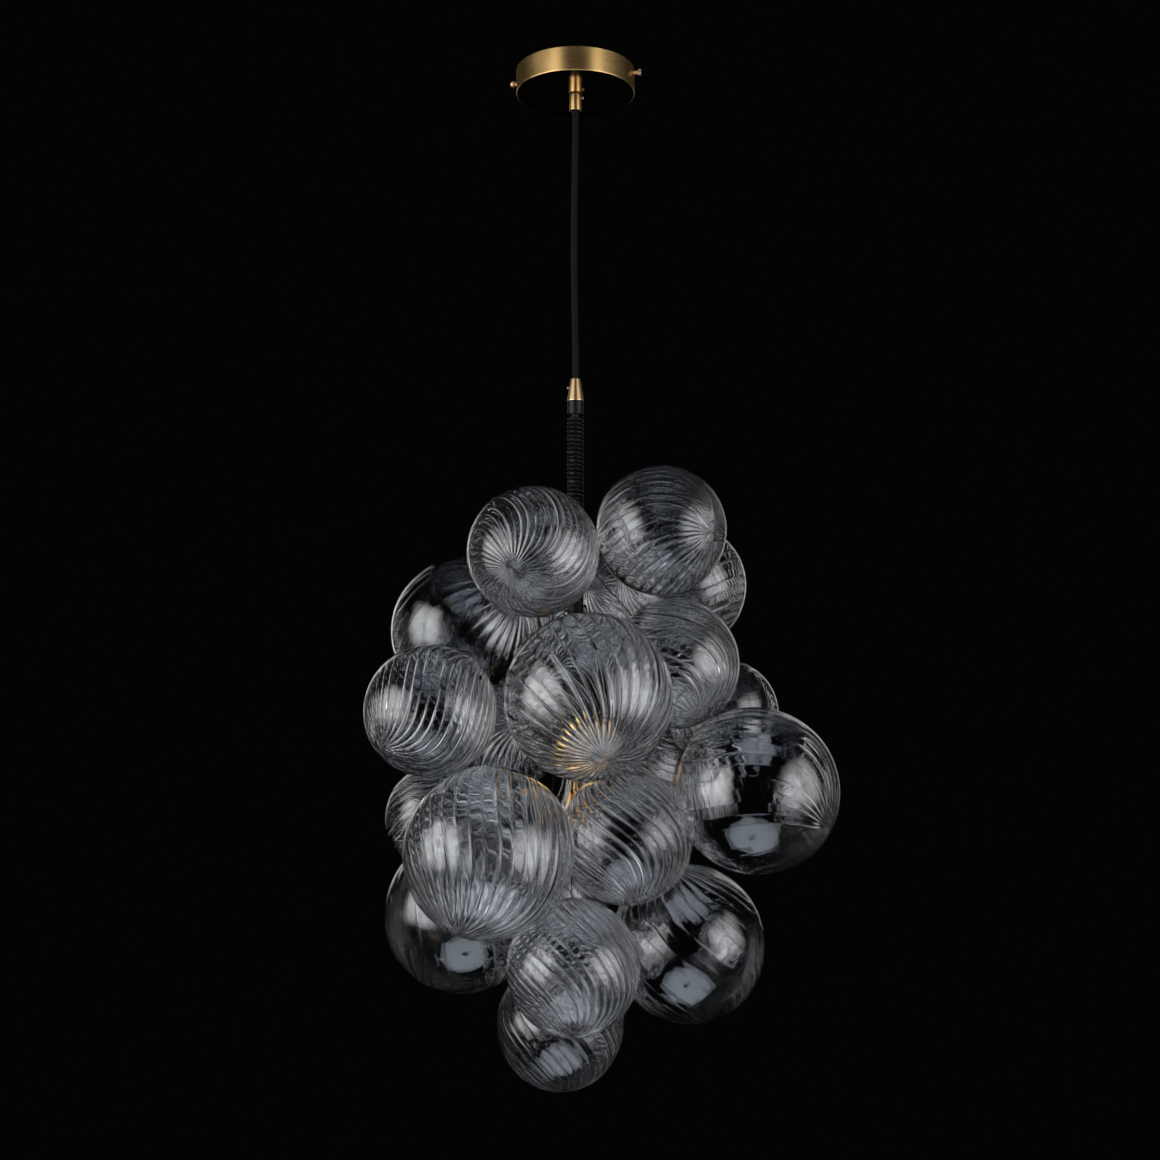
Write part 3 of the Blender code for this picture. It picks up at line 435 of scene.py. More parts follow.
def outward(points, quads, fans):
    """Turns the faces round if they point inwards."""
    triangles = np.vstack([quads[:, (0, 1, 2)], quads[:, (0, 2, 3)], fans])
    a, b, c = (points[triangles[:, k]] for k in range(3))
    if np.einsum("ij,ij->i", a, np.cross(b, c)).sum() < 0:
        return points, quads[:, ::-1], fans[:, ::-1]
    return points, quads, fans


def piece(name, body, finish, forms, place=None, sharp=None):
    """A mesh of one or more forms, which rides on a body."""
    forms = [outward(*form) for form in forms]
    points = np.vstack([form[0] for form in forms])
    bases = np.cumsum([0] + [len(form[0]) for form in forms])
    quads, fans = (np.vstack([form[k] + base for form, base in zip(forms, bases)]) for k in (1, 2))
    mesh = bpy.data.meshes.new(name)
    mesh.vertices.add(len(points))
    mesh.vertices.foreach_set("co", points.astype(np.float32).ravel())
    corners = np.concatenate([quads.ravel(), fans.ravel()]).astype(np.int32)
    starts = np.concatenate([np.arange(len(quads)) * 4, len(quads) * 4 + np.arange(len(fans)) * 3])
    mesh.loops.add(len(corners))
    mesh.loops.foreach_set("vertex_index", corners)
    mesh.polygons.add(len(starts))
    mesh.polygons.foreach_set("loop_start", starts.astype(np.int32))
    mesh.update(calc_edges=True)
    mesh.shade_smooth()
    if sharp:
        mesh.set_sharp_from_angle(angle=math.radians(sharp))
    obj = bpy.data.objects.new(name, mesh)
    bpy.context.scene.collection.objects.link(obj)
    if place is not None:
        obj.matrix_world = place
    mesh.materials.append(finish)
    if body:
        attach(obj, body)
    return obj


def arc(centre_r, centre_z, radius, first, last, steps):
    angles = np.radians(np.linspace(first, last, steps + 1))
    return [(centre_r + radius * math.cos(a), centre_z + radius * math.sin(a)) for a in angles]


def softened(points, radius, closed=False, steps=4):
    """A profile or path whose corners are rounded, with a point beside each rounding that
    keeps the flat parts flat."""
    points = [np.array(p, float) for p in points]
    count = len(points)
    made = []
    for i, corner in enumerate(points):
        if not closed and i in (0, count - 1):
            made.append(corner)
            continue
        before, after = points[i - 1] - corner, points[(i + 1) % count] - corner
        reach_before, reach_after = np.linalg.norm(before), np.linalg.norm(after)
        before, after = before / reach_before, after / reach_after
        cut = min(radius, 0.42 * reach_before, 0.42 * reach_after)
        if reach_before > 3.4 * cut:
            made.append(corner + before * cut * 1.6)
        for share in np.linspace(0, 1, steps + 1):
            made.append(corner + before * cut * (1 - share) ** 2 + after * cut * share ** 2)
        if reach_after > 3.4 * cut:
            made.append(corner + after * cut * 1.6)
    return made


def lathe(profile, columns, closed=False, relief=None):
    """A profile of (r, z) points turned about Z. relief(angle, r, z) is added to the radius."""
    profile = np.array(profile, float)
    start = end = None
    if not closed and profile[0, 0] < TINY:
        start, profile = (0, 0, profile[0, 1]), profile[1:]
    if not closed and profile[-1, 0] < TINY:
        end, profile = (0, 0, profile[-1, 1]), profile[:-1]
    angle = np.linspace(0, math.tau, columns, endpoint=False)[None, :]
    r, z = profile[:, 0][:, None], profile[:, 1][:, None]
    if relief:
        r = r + relief(angle, r, z)
    rings = np.stack(np.broadcast_arrays(r * np.cos(angle), r * np.sin(angle), z), -1)
    return lattice(rings, closed, start, end)


def disc(radius, low, high, columns):
    return lathe([(0, low), (radius, low), (radius, high), (0, high)], columns)


def moved(form, matrix):
    """A form taken through a matrix."""
    turn = np.array(matrix.to_3x3())
    return (form[0] @ turn.T + np.array(matrix.to_translation()), form[1], form[2])


def toward(direction, place=(0, 0, 0)):
    """The matrix that takes +Z to a direction, and the origin to a place."""
    turn = Vector((0, 0, 1)).rotation_difference(Vector(direction)).to_matrix().to_4x4()
    return Matrix.Translation(Vector(place)) @ turn


def run_along(path):
    """The distance run at each point of a path."""
    return np.concatenate([[0], np.cumsum(np.linalg.norm(np.diff(path, axis=0), axis=1))])


def resampled(path, step):
    """A path with points at an even step."""
    path = np.array(path, float)
    run = run_along(path)
    along = np.linspace(0, run[-1], max(2, round(run[-1] / step) + 1))
    return np.stack([np.interp(along, run, path[:, k]) for k in range(3)], -1)


def tube(path, radius, columns, relief=None, shares=None, first_side=(1, 0, 0.3)):
    """A closed tube round a path. relief(run, angle) is added to the radius, and shares
    scale it ring by ring."""
    path = np.array(path, float)
    ways = np.gradient(path, axis=0)
    ways /= np.linalg.norm(ways, axis=1)[:, None]
    side = np.array(first_side, float)
    sides = []
    for way in ways:
        side = side - way * side.dot(way)
        side /= np.linalg.norm(side)
        sides.append(side)
    sides = np.array(sides)
    others = np.cross(ways, sides)
    run = run_along(path)
    angle = np.linspace(0, math.tau, columns, endpoint=False)[None, :]
    reach = radius + (relief(run[:, None], angle) if relief else 0 * angle)
    if shares is not None:
        reach = reach * np.array(shares)[:, None]
    reach = np.broadcast_to(reach, (len(path), columns))[..., None]
    way = np.cos(angle)[..., None] * sides[:, None] + np.sin(angle)[..., None] * others[:, None]
    return lattice(path[:, None] + reach * way, False, path[0], path[-1])


def strands(count, lay, depth):
    """Relief of a twisted cord or wire, whose strands run once round in each lay."""
    return lambda run, angle: depth * (np.cos(count * angle - run / lay * math.tau) - 1)


def thread_wave(angle, z, pitch):
    return 0.5 - 0.5 * np.cos(z / pitch * math.tau - angle)


def polar(reach, angle, z):
    return (reach * math.cos(angle), reach * math.sin(angle), z)


def in_bar_frame(along, z):
    return BAR_AXIS * along + Vector((0, 0, z))


# Suspension cord

def braid(count, depth, radius):
    """Relief of a braided jacket: two sets of strands that pass over and under each other."""
    def relief(run, angle):
        turns = angle / math.tau * count
        climb = run / (math.tau * radius) * count
        right, left = turns + climb, turns - climb
        over = (np.floor(right) + np.floor(left)) % 2
        across = np.where(over > 0, right % 1, left % 1)
        along = np.where(over > 0, left % 1, right % 1)
        crown = np.cos(math.pi * (across - 0.5)) ** 0.6
        return depth * (crown * (0.55 + 0.45 * np.cos(math.pi * (along - 0.5))) - 1)
    return relief


def make_suspension_cord():
    path = [(-CORD_BOW * math.sin(math.pi * s) ** 2, 0, PIVOT_Z - CORD_DROP * s)
            for s in np.linspace(0, 1, 721)]
    rings = [1.0] * len(path)
    for degrees in CORD_END_ANGLES:
        rise = CORD_RADIUS * math.sin(math.radians(degrees))
        thin = math.cos(math.radians(degrees))
        path = [(0, 0, PIVOT_Z + rise), *path, (0, 0, CONE_TOP_Z - rise)]
        rings = [thin, *rings, thin]
    relief = braid(8, 0.00026, CORD_RADIUS)
    cord = piece("suspension_cord_braid", "cord", BRAID,
                 [tube(path, CORD_RADIUS, 56, relief, rings)])
    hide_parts("suspension_cord")


make_suspension_cord()


# Globes and their ties

def row_radius(row):
    return row[0] * row[1] / 2


def row_centres():
    centres = [Vector(row[2]) for row in GLOBE_ROW_SHARES]
    weights = [row_radius(row) ** 2 for row in GLOBE_ROW_SHARES]
    pull = Vector((0, 0, 0))
    for centre, weight in zip(centres[:-1], weights[:-1]):
        pull += centre * weight
    centres[-1].x = -pull.x / weights[-1]
    centres[-1].y = -pull.y / weights[-1]
    return centres


def cluster_pitch(centres):
    radii = [row_radius(row) for row in GLOBE_ROW_SHARES]
    core = max(STEM_DIAMETER, HOLDER_DIAMETER, BULB_DIAMETER) / 2
    pitch = 0
    for i, centre in enumerate(centres):
        for j in range(i):
            pitch = max(pitch, (radii[i] + radii[j] + GLOBE_GAP) / (centre - centres[j]).length)
        off_axis = centre.to_2d().length
        if off_axis > UNDER_LAMP_SHARE:
            pitch = max(pitch, (radii[i] + core + CORE_CLEARANCE) / off_axis)
    return pitch


def neck_meridian(radius):
    """The lip round the neck hole as (distance off the axis, height) points, from the inside
    out. Its rows are in radii of the hole, and in thicknesses of the lip below the ball."""
    lip = (
        (2.6, 1.06), (2.0, 1.05), (1.55, 1.02), (1.25, 0.96), (1.08, 0.86), (1.01, 0.70),
        (1.0, 0.52), (1.04, 0.36), (1.14, 0.20), (1.30, 0.08), (1.52, 0.03), (1.72, 0.08),
        (1.88, 0.17), (2.0, 0.24), (2.16, 0.25), (2.4, 0.14), (2.7, 0.03),
    )
    reach, drop = np.array(lip).T
    off_axis = reach * (NECK_HOLE / 2)
    level = np.sqrt(radius ** 2 - off_axis ** 2)
    return np.stack([off_axis, level - drop * GLASS_WALL * LIP_GLASS], -1)


def blown_globe(radius, twist, strength, lean, rng):
    """A blown ball with its neck at +Z and ribs that twist from neck to far pole, in both of
    its surfaces, as closed rings. lean is the axis and the angle that turn the far pole from -Z."""
    share = (np.arange(RIBS)[:, None] + np.array(COLUMN_SHARES)[None]).ravel()[None, :] / RIBS
    angle = math.tau * share
    place = share * RIBS
    off_crease = np.abs(place - np.round(place))
    lip = neck_meridian(radius)
    start_inner = math.atan2(*lip[0])
    start_outer = math.atan2(*lip[-1])
    spread = np.linspace(0, 1, GLOBE_ROWS + 1)[1:-1]

    def drawn(count, turns, climbs):
        """Waves as (times round, climb, phase, height)."""
        return [(rng.randint(*turns), rng.uniform(*climbs), rng.uniform(0, math.tau),
                 rng.uniform(0.4, 1)) for _ in range(count)]

    waves, lumps = drawn(5, (1, 3), (1, 5)), drawn(6, (4, 11), (5, 13))
    rib = np.round(place).astype(int) % RIBS
    uneven = np.array([rng.uniform(0.4, 1.6) for _ in range(RIBS)])[rib]
    rib_phase = np.array([rng.uniform(0, math.tau) for _ in range(RIBS)])[rib]
    axis, most_lean = lean
    mottled = FAINT_LUMPS if strength < FAINT_RIBS else 0

    def swung(down):
        part = down / math.pi
        return angle + twist * (part - TWIST_EASE * np.sin(math.tau * part))

    def heaved(parts, swing, down):
        return sum(a * np.sin(m * swing + n * down + p) for m, n, p, a in parts) * np.sin(down)

    def rings_of(r, z, swing):
        return np.stack(np.broadcast_arrays(r * np.cos(swing), r * np.sin(swing), z), -1)

    def surface(down, inner):
        """One surface of the glass, as rings at angles down from the neck."""
        down = down[:, None]
        swing = swung(down)
        near = np.sin(down)
        by_neck = np.exp(-(down / 0.95) ** 2)
        fade = np.clip(near / 0.30, 0, 1) ** 0.9 * (1 - 0.45 * near ** 5)
        fade = fade * (1 + 0.3 * np.sin(3.1 * down + rib_phase))
        depth = fade * (strength + 0.9 * by_neck) * uneven
        lump = heaved(lumps, swing, down) / 3.5
        ripple = heaved(waves, swing, down) / 3.2 + 1.1 * lump * (by_neck + mottled)
        bow = RIB_ROUND * depth * np.cos(math.tau * place)
        if inner:
            crease = 1 / (1 + (off_crease / INNER_CREASE_WIDTH) ** 2)
            at_pole = np.clip((down - 2.7) / 0.44, 0, 1) ** 2
            at_neck = np.clip((0.5 - down) / 0.5, 0, 1) ** 2
            wall = GLASS_WALL * (SIDE_GLASS + POLE_GLASS * at_pole + NECK_GLASS * at_neck)
            reach = radius - wall + INNER_CREASE * depth * (crease - 0.3) + bow
            reach = reach - WAVE * (0.5 + 0.5 * ripple)
        else:
            crease = 1 / (1 + (off_crease / OUTER_CREASE_WIDTH) ** 2)
            reach = radius - OUTER_CREASE * depth * crease - bow - RIB_ROUND
            reach = reach - WAVE * (0.5 - 0.5 * ripple)
        turn = most_lean * np.clip((down - 0.5) / (math.pi - 0.5), 0, 1) ** 1.5
        return rotated(rings_of(reach * near, reach * np.cos(down), swing), axis, turn[..., None])

    inside = surface(start_inner + (math.pi - start_inner) * (1 - spread), True)
    outside = surface(start_outer + (math.pi - start_outer) * spread, False)
    neck = rings_of(lip[:, :1], lip[:, 1:], swung(start_outer))
    inner_reach = radius - GLASS_WALL * (SIDE_GLASS + POLE_GLASS) - WAVE * 0.5
    outer_reach = radius - RIB_ROUND - WAVE * 0.5
    poles = rotated(np.array([(0, 0, -inner_reach), (0, 0, -outer_reach)]), axis, most_lean)
    return lattice(np.concatenate([inside, neck, outside]), False, *poles)


def rotated(points, axis, turn):
    """Points turned about an axis through the origin, each by its own angle."""
    along = (points @ axis)[..., None] * axis
    across = np.cross(axis, points)
    return points * np.cos(turn) + across * np.sin(turn) + along * (1 - np.cos(turn))


def coil(radius, wraps, length, dip, edge):
    """A profile of cord wound round a cord: a barrel with a bump for each wrap."""
    steps = wraps * 6
    points = [(0, 0)]
    for step in range(steps + 1):
        share = step / steps
        bump = abs(math.sin(math.pi * wraps * share))
        barrel = 1 - edge * abs(2 * share - 1) ** 3
        points.append((radius * barrel - dip * (1 - bump), length * share))
    return points + [(0, length)]


def make_tie(number, radius, centre, neck, route, rng):
    """The cord from its loop round the stem to the bead inside the globe."""
    seat, mouth = route[0], route[1]
    out = (mouth - seat).normalized()
    rim = radius * math.cos(math.asin(NECK_HOLE / 2 / radius)) - GLASS_WALL
    rise = BEAD_TAPER * (NECK_HOLE - TIE_DIAMETER) / (BEAD_DIAMETER - TIE_DIAMETER)
    bead_top = rim - BEAD_SEAT + rise
    bead_foot = bead_top - 2 * BEAD_TAPER - BEAD_LENGTH
    corners = [seat.lerp(mouth, 0.6), *route[2:], centre + neck * (bead_foot + BEAD_TAPER)]
    path = resampled(softened([tuple(c) for c in corners], 0.012, steps=10), 0.0009)
    tie = piece(f"tie_{number:02d}_cord", "cluster", TWINE,
                [tube(path, TIE_DIAMETER / 2, 12, strands(3, 0.0048, 0.00009))])
    knot = lathe(coil(KNOT_DIAMETER / 2, 3, KNOT_LENGTH, 0.0003, 0.15), 20)
    bead_length = bead_top - bead_foot - BEAD_TAPER * 0.9
    bead = moved(lathe(coil(BEAD_DIAMETER / 2, 5, bead_length, 0.00045, 0.42), 32),
                 toward(neck, centre + neck * (bead_foot + BEAD_TAPER * 0.3)))
    tilt = rng.uniform(-0.09, 0.09)
    facing = math.atan2(out.y, out.x)
    reach = STEM_RADIUS + TIE_DIAMETER * 0.5
    ring = []
    for angle in np.linspace(0, math.tau, 73):
        height = seat.z + reach * tilt * math.sin(angle) * math.cos(facing - angle)
        ring.append(polar(reach, angle, height))
    ends = piece(f"tie_{number:02d}_knots", "cluster", TWINE,
                 [moved(knot, toward(out, seat)), bead, tube(ring, TIE_DIAMETER / 2, 10)])
    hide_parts(f"tie_{number:02d}")


def make_globes():
    rng = random.Random(11)
    centres = row_centres()
    pitch = cluster_pitch(centres)
    foot = Vector((0, 0, STEM_FOOT_Z))
    for number, (row, share) in enumerate(zip(GLOBE_ROW_SHARES, centres), 1):
        centre = foot + share * pitch
        detour = TIE_DETOUR_SHARES.get(number)
        bend = foot + Vector(detour) * pitch if detour else None
        out = (bend or centre).to_2d().normalized().to_3d()
        seat = out * (STEM_RADIUS + SEAT_GAP) + Vector((0, 0, STEM_FOOT_Z + row[3] * pitch))
        route = [seat, seat + out * KNOT_LENGTH] + ([bend] if bend else [])
        neck = (route[-1] - centre).normalized()
        radius = row_radius(row)
        make_tie(number, radius, centre, neck, route, rng)
        twist, strength = RIB_LOOKS.get(number, RIB_LOOKS[0])
        stand = toward(neck, centre)
        far_pole = stand.to_3x3().transposed() @ Vector(FAR_POLES.get(number, -neck)).normalized()
        down = Vector((0, 0, -1))
        axis = down.cross(far_pole)
        lean_axis = np.array(axis.normalized() if axis.length > TINY else (1, 0, 0))
        lean = (lean_axis, axis.length and down.angle(far_pole))
        shell = moved(blown_globe(radius, math.radians(twist), strength, lean, rng), stand)
        globe = piece(f"globe_{number:02d}_blown", "cluster", GLOBE_GLASS, [shell])
        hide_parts(f"globe_{number:02d}")


make_globes()


# Canopy, its screws and what it holds

def cut(obj, form, place, sharp=35):
    """Takes a form out of a piece for good."""
    cutter = piece(f"{obj.name}_cutter", None, STEEL, [form], place)
    modifier = obj.modifiers.new("cut", "BOOLEAN")
    modifier.operation = "DIFFERENCE"
    modifier.solver = "EXACT"
    modifier.object = cutter
    bpy.context.view_layer.update()
    shape = obj.evaluated_get(bpy.context.evaluated_depsgraph_get())
    mesh = bpy.data.meshes.new_from_object(shape)
    bpy.data.objects.remove(cutter)
    obj.modifiers.remove(modifier)
    mesh.name = obj.data.name
    obj.data = mesh
    mesh.shade_smooth()
    mesh.set_sharp_from_angle(angle=math.radians(sharp))


def make_canopy():
    outer = CANOPY_DIAMETER / 2
    inner = outer - CANOPY_WALL
    hole = NIPPLE_DIAMETER / 2 + SEAT_GAP
    floor = CANOPY_WALL - CANOPY_HEIGHT
    rim, corner = 0.0003, 0.0012
    edge = CANOPY_EDGE * 0.5
    flat_start = outer - edge
    wall_start = edge - CANOPY_HEIGHT
    profile = [(outer - rim, 0), (outer, -rim), (outer, -rim * 2), (outer, wall_start + rim * 2)]
    profile += arc(flat_start, wall_start, edge, 0, -90, 12)
    profile += [(flat_start - rim * 2, -CANOPY_HEIGHT), (outer / 2, -CANOPY_HEIGHT)]
    profile += [(hole + rim * 2, -CANOPY_HEIGHT), (hole, -CANOPY_HEIGHT + rim / 2), (hole, floor)]
    profile += [(hole + rim, floor), (inner - 0.002, floor)]
    profile += arc(inner - corner, floor + corner, corner, -90, 0, 6)
    profile += [(inner, -rim * 2), (inner, -rim), (inner + rim, 0)]
    canopy = piece("canopy_cup_spun", "ceiling_mount", BRUSHED,
                   [lathe(profile, 192, True)])
    bore = disc(SIDE_SCREW_DIAMETER / 2 + SEAT_GAP, -outer * 1.2, outer * 1.2, 32)
    cut(canopy, bore, toward(BAR_AXIS, (0, 0, -SIDE_SCREW_DROP)))
    canopy.data.materials.append(POLISHED)
    for face in canopy.data.polygons:
        if face.normal.z < -0.995 and face.center.z < -CANOPY_HEIGHT + rim:
            face.material_index = 1
    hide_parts("canopy_cup")


def make_side_screw(body, node, side):
    start = LUG_INSIDE - SIDE_SCREW_TIP
    head = CANOPY_DIAMETER / 2 + SIDE_SCREW_STANDOFF - start
    top = head + SIDE_SCREW_HEAD_LENGTH
    shaft = SIDE_SCREW_DIAMETER / 2
    radius = SIDE_SCREW_HEAD_DIAMETER / 2
    grooves, half_slot = 22, 0.00045
    edge = pitch = 0.0007

    def relief(angle, r, z):
        """The thread on the shaft, and the knurl round the head."""
        on_shaft = (z > shaft * 0.6) & (z < head - pitch) & (r < shaft * 1.05)
        on_rim = (r > radius * 0.985) & (z > head)
        thread = -0.00022 * thread_wave(angle, z, pitch)
        knurl = 0.00014 * (np.abs(np.sin(angle * grooves / 2)) ** 0.7 - 1)
        return np.where(on_shaft, thread, 0) + np.where(on_rim, knurl, 0)

    profile = [(0, 0), (shaft * 0.6, 0), (shaft * 0.95, shaft * 0.5)]
    profile += [(shaft, z) for z in np.arange(shaft * 0.6, head - pitch / 2, pitch / 7)]
    profile += [(shaft, head), (radius * 0.94, head), (radius, head + radius * 0.06)]
    profile += [(radius, head + SIDE_SCREW_HEAD_LENGTH * s) for s in (0.2, 0.4, 0.6, 0.78)]
    profile += arc(radius - edge, top - edge, edge, 0, 90, 5)
    profile += [(radius * 0.5, top), (0, top)]
    place = toward(BAR_AXIS * side, BAR_AXIS * side * start + Vector((0, 0, -SIDE_SCREW_DROP)))
    screw = piece(f"{node}_turned", body, SATIN,
                  [lathe(profile, 88, False, relief)], place, 50)
    slot = disc(radius * 1.3, -half_slot, half_slot, 32)
    cut(screw, slot, place @ Matrix.Translation((0, 0, top + radius * 0.95)) @ LAID, 50)
    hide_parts(node)


def make_grip():
    foot = -CANOPY_HEIGHT - NIPPLE_ENGAGEMENT
    radius = GRIP_DIAMETER / 2
    top = -CANOPY_HEIGHT - SEAT_GAP
    shoulder = foot - SEAT_GAP
    thread = NIPPLE_DIAMETER / 2 + SEAT_GAP
    pocket_z = PIVOT_Z + CORD_POCKET
    profile = [(radius, top), (radius, PIVOT_Z), (CORD_POCKET, PIVOT_Z), (CORD_POCKET, pocket_z)]
    profile += [(LEAD_HOLE_RADIUS, pocket_z), (LEAD_HOLE_RADIUS, shoulder), (thread, shoulder)]
    profile += [(thread, top)]
    cap = piece("grip_cap_turned", "ceiling_mount", SATIN,
                [lathe(softened(profile, GRIP_EDGE, True), 96, True)])
    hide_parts("grip_cap")
    seat = Vector((thread, 0, top - GRIP_SCREW_DROP))
    make_set_screw("grip_set_screw", "ceiling_mount", cap, seat, Vector((1, 0, 0)), radius)


def make_set_screw(node, body, wall, seat, way, wall_radius):
    """A small socket screw through a wall, whose hole is cut in the wall."""
    shaft = SET_SCREW_DIAMETER / 2
    hole = shaft + SEAT_GAP * 0.6
    reach = wall_radius + SET_SCREW_PROUD - Vector((seat.x, seat.y, 0)).length
    cut(wall, disc(hole, -shaft, reach + shaft * 4, 24), toward(way, seat - way * shaft * 0.5))
    head = SET_SCREW_HEAD_DIAMETER / 2
    top = reach + SET_SCREW_HEAD_LENGTH
    socket = head * 0.45
    profile = [(0, 0), (shaft * 0.9, 0), (shaft, shaft * 0.2), (shaft, reach), (head, reach)]
    profile += [(head, top), (socket, top), (socket, top - socket * 1.5), (0, top - socket * 1.8)]
    screw = piece(f"{node}_turned", body, STEEL,
                  [lathe(softened(profile, shaft * 0.25), 36)], toward(way, seat), 50)
    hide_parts(node)


def make_ceiling_lead():
    end_z = -BAR_THICKNESS - SEAT_GAP - TERMINAL_HEIGHT / 2
    bend = arc(LEAD_BEND, end_z - LEAD_BEND, LEAD_BEND, 180, 90, 16)
    bend.append((TERMINAL_OFFSET - TERMINAL_LENGTH / 2 - SEAT_GAP, end_z))
    points = [(0, 0, PIVOT_Z + CORD_POCKET), *(tuple(in_bar_frame(r, z)) for r, z in bend)]
    lead = piece("ceiling_lead_jacket", "ceiling_mount", JACKET,
                 [tube(resampled(points, 0.0008), LEAD_DIAMETER / 2, 24)], sharp=50)
    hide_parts("ceiling_lead")


def make_terminal_screws():
    """Slotted screws at the bottom of the terminal block's wells."""
    foot = -BAR_THICKNESS - SEAT_GAP - TERMINAL_HEIGHT + TERMINAL_SCREW_DEPTH
    radius = TERMINAL_SCREW_DIAMETER / 2 * 0.9
    height = TERMINAL_SCREW_DEPTH * 0.4
    profile = softened([(0, 0), (radius, 0), (radius, -height), (0, -height)], radius * 0.2)
    for number, side in enumerate((-1, 1), 1):
        along = TERMINAL_OFFSET + side * TERMINAL_SCREW_SPACING / 2
        place = Matrix.Translation(in_bar_frame(along, foot))
        screw = piece(f"terminal_screw_{number}", "ceiling_mount", STEEL,
                      [lathe(profile, 32)], place, 50)
        slot = disc(radius * 2, -radius * 0.15, radius * 0.15, 24)
        turn = Matrix.Rotation(math.radians(35 + 70 * number), 4, "Z") @ LAID
        cut(screw, slot, place @ Matrix.Translation((0, 0, -height - radius * 1.55)) @ turn, 50)


def dress(node, finish, edge):
    """Keeps a CAD node's own shape, with its finish and softened edges."""
    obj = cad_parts[node]
    obj.data.materials.clear()
    obj.data.materials.append(finish)
    weld = obj.modifiers.new("weld", "WELD")
    weld.merge_threshold = SEAT_GAP / 10
    soft = obj.modifiers.new("soft", "BEVEL")
    soft.width = edge
    soft.segments = 3
    soft.limit_method = "ANGLE"
    soft.angle_limit = math.radians(40)
    soft.harden_normals = True
    obj.data.shade_smooth()


make_canopy()
make_side_screw("left_side_screw", "side_screw_left", -1)
make_side_screw("right_side_screw", "side_screw_right", 1)
make_grip()
make_ceiling_lead()
make_terminal_screws()
dress("crossbar", STEEL, 0.0003)
dress("terminal_block", POLYAMIDE, 0.0004)
dress("grip_nipple", SATIN, 0.0003)


# Cone and stem

def make_cone():
    top, foot = CONE_TOP_DIAMETER / 2, CONE_BOTTOM_DIAMETER / 2
    bore = SPIGOT_DIAMETER / 2 + SEAT_GAP
    spigot_top = STEM_TOP_Z + SPIGOT_LENGTH + SEAT_GAP
    pocket = CONE_TOP_Z - CORD_POCKET
    profile = [(top, CONE_TOP_Z), (foot, CONE_BOTTOM_Z + CONE_EDGE), (foot, CONE_BOTTOM_Z)]
    profile += [(bore, CONE_BOTTOM_Z), (bore, spigot_top), (LEAD_HOLE_RADIUS, spigot_top)]
    profile += [(LEAD_HOLE_RADIUS, pocket), (CORD_POCKET, pocket), (CORD_POCKET, CONE_TOP_Z)]
    cone = piece("cone_coupler_turned", "coupler", SATIN,
                 [lathe(softened(profile, 0.0004, True), 96, True)])
    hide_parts("cone_coupler")
    seat = Vector((-bore, 0, CONE_TOP_Z - CONE_SCREW_DROP))
    wall = top + (foot - top) * (CONE_SCREW_DROP / (CONE_HEIGHT - CONE_EDGE))
    make_set_screw("cone_set_screw", "coupler", cone, seat, Vector((-1, 0, 0)), wall)


def make_stem():
    spigot, lower = SPIGOT_DIAMETER / 2, LOWER_SPIGOT_DIAMETER / 2
    foot = STEM_FOOT_Z - LOWER_SPIGOT_LENGTH
    top = STEM_TOP_Z + SPIGOT_LENGTH
    profile = [(spigot, top), (spigot, STEM_TOP_Z), (STEM_RADIUS, STEM_TOP_Z)]
    profile += [(STEM_RADIUS, WRAP_TOP_Z), (CORE_RADIUS, WRAP_TOP_Z), (CORE_RADIUS, WRAP_FOOT_Z)]
    profile += [(STEM_RADIUS, WRAP_FOOT_Z), (STEM_RADIUS, STEM_FOOT_Z), (lower, STEM_FOOT_Z)]
    profile += [(lower, foot), (LEAD_HOLE_RADIUS, foot), (LEAD_HOLE_RADIUS, top)]
    stem = piece("stem_tube_turned", "cluster", LACQUER,
                 [lathe(softened(profile, 0.0005, True), 72, True)])
    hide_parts("stem_tube")
    lead_foot = HOLDER_TOP_Z - INSERT_HEADROOM + SEAT_GAP
    path = [(0, 0, z) for z in np.linspace(CONE_TOP_Z - CORD_POCKET, lead_foot, 60)]
    lead = piece("stem_lead_jacket", "cluster", JACKET,
                 [tube(path, LEAD_DIAMETER / 2, 20)], sharp=50)
    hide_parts("stem_lead")


def make_wrap():
    """The wound cord, twisted of strands: a coil that fills the stem's recess from end to end."""
    first = WRAP_TOP_Z - SEAT_GAP - WRAP_RADIUS * 1.05
    last = WRAP_FOOT_Z + SEAT_GAP + WRAP_RADIUS * 1.05
    loops = round((first - last) / (WRAP_DIAMETER * 1.1))
    path = []
    for share in np.linspace(0, 1, loops * 36 + 1):
        turn = math.tau * loops * share
        sway = 0.00012 * math.sin(share * 61) * math.sin(math.pi * share)
        path.append(polar(WRAP_CENTRE, turn, first + (last - first) * share + sway))
    rings = np.ones(len(path))
    rings[:3] = rings[-3:][::-1] = (0.35, 0.75, 0.94)
    half = (first - last) / loops * 0.49
    power = 3.2
    twist = strands(5, 0.017, 0.00005)

    def relief(run, angle):
        """The section that winding presses the cord into, and its strands."""
        wide = (np.abs(np.cos(angle)) / half) ** power
        high = (np.abs(np.sin(angle)) / WRAP_RADIUS) ** power
        return (wide + high) ** (-1 / power) - WRAP_RADIUS + twist(run, angle)

    wrap = piece("stem_wrap_cord", "cluster", WOUND,
                 [tube(path, WRAP_RADIUS, 24, relief, rings, (0, 0.3, 1))])
    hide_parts("stem_wrap")


make_cone()
make_stem()
make_wrap()


# Lampholder and bulb

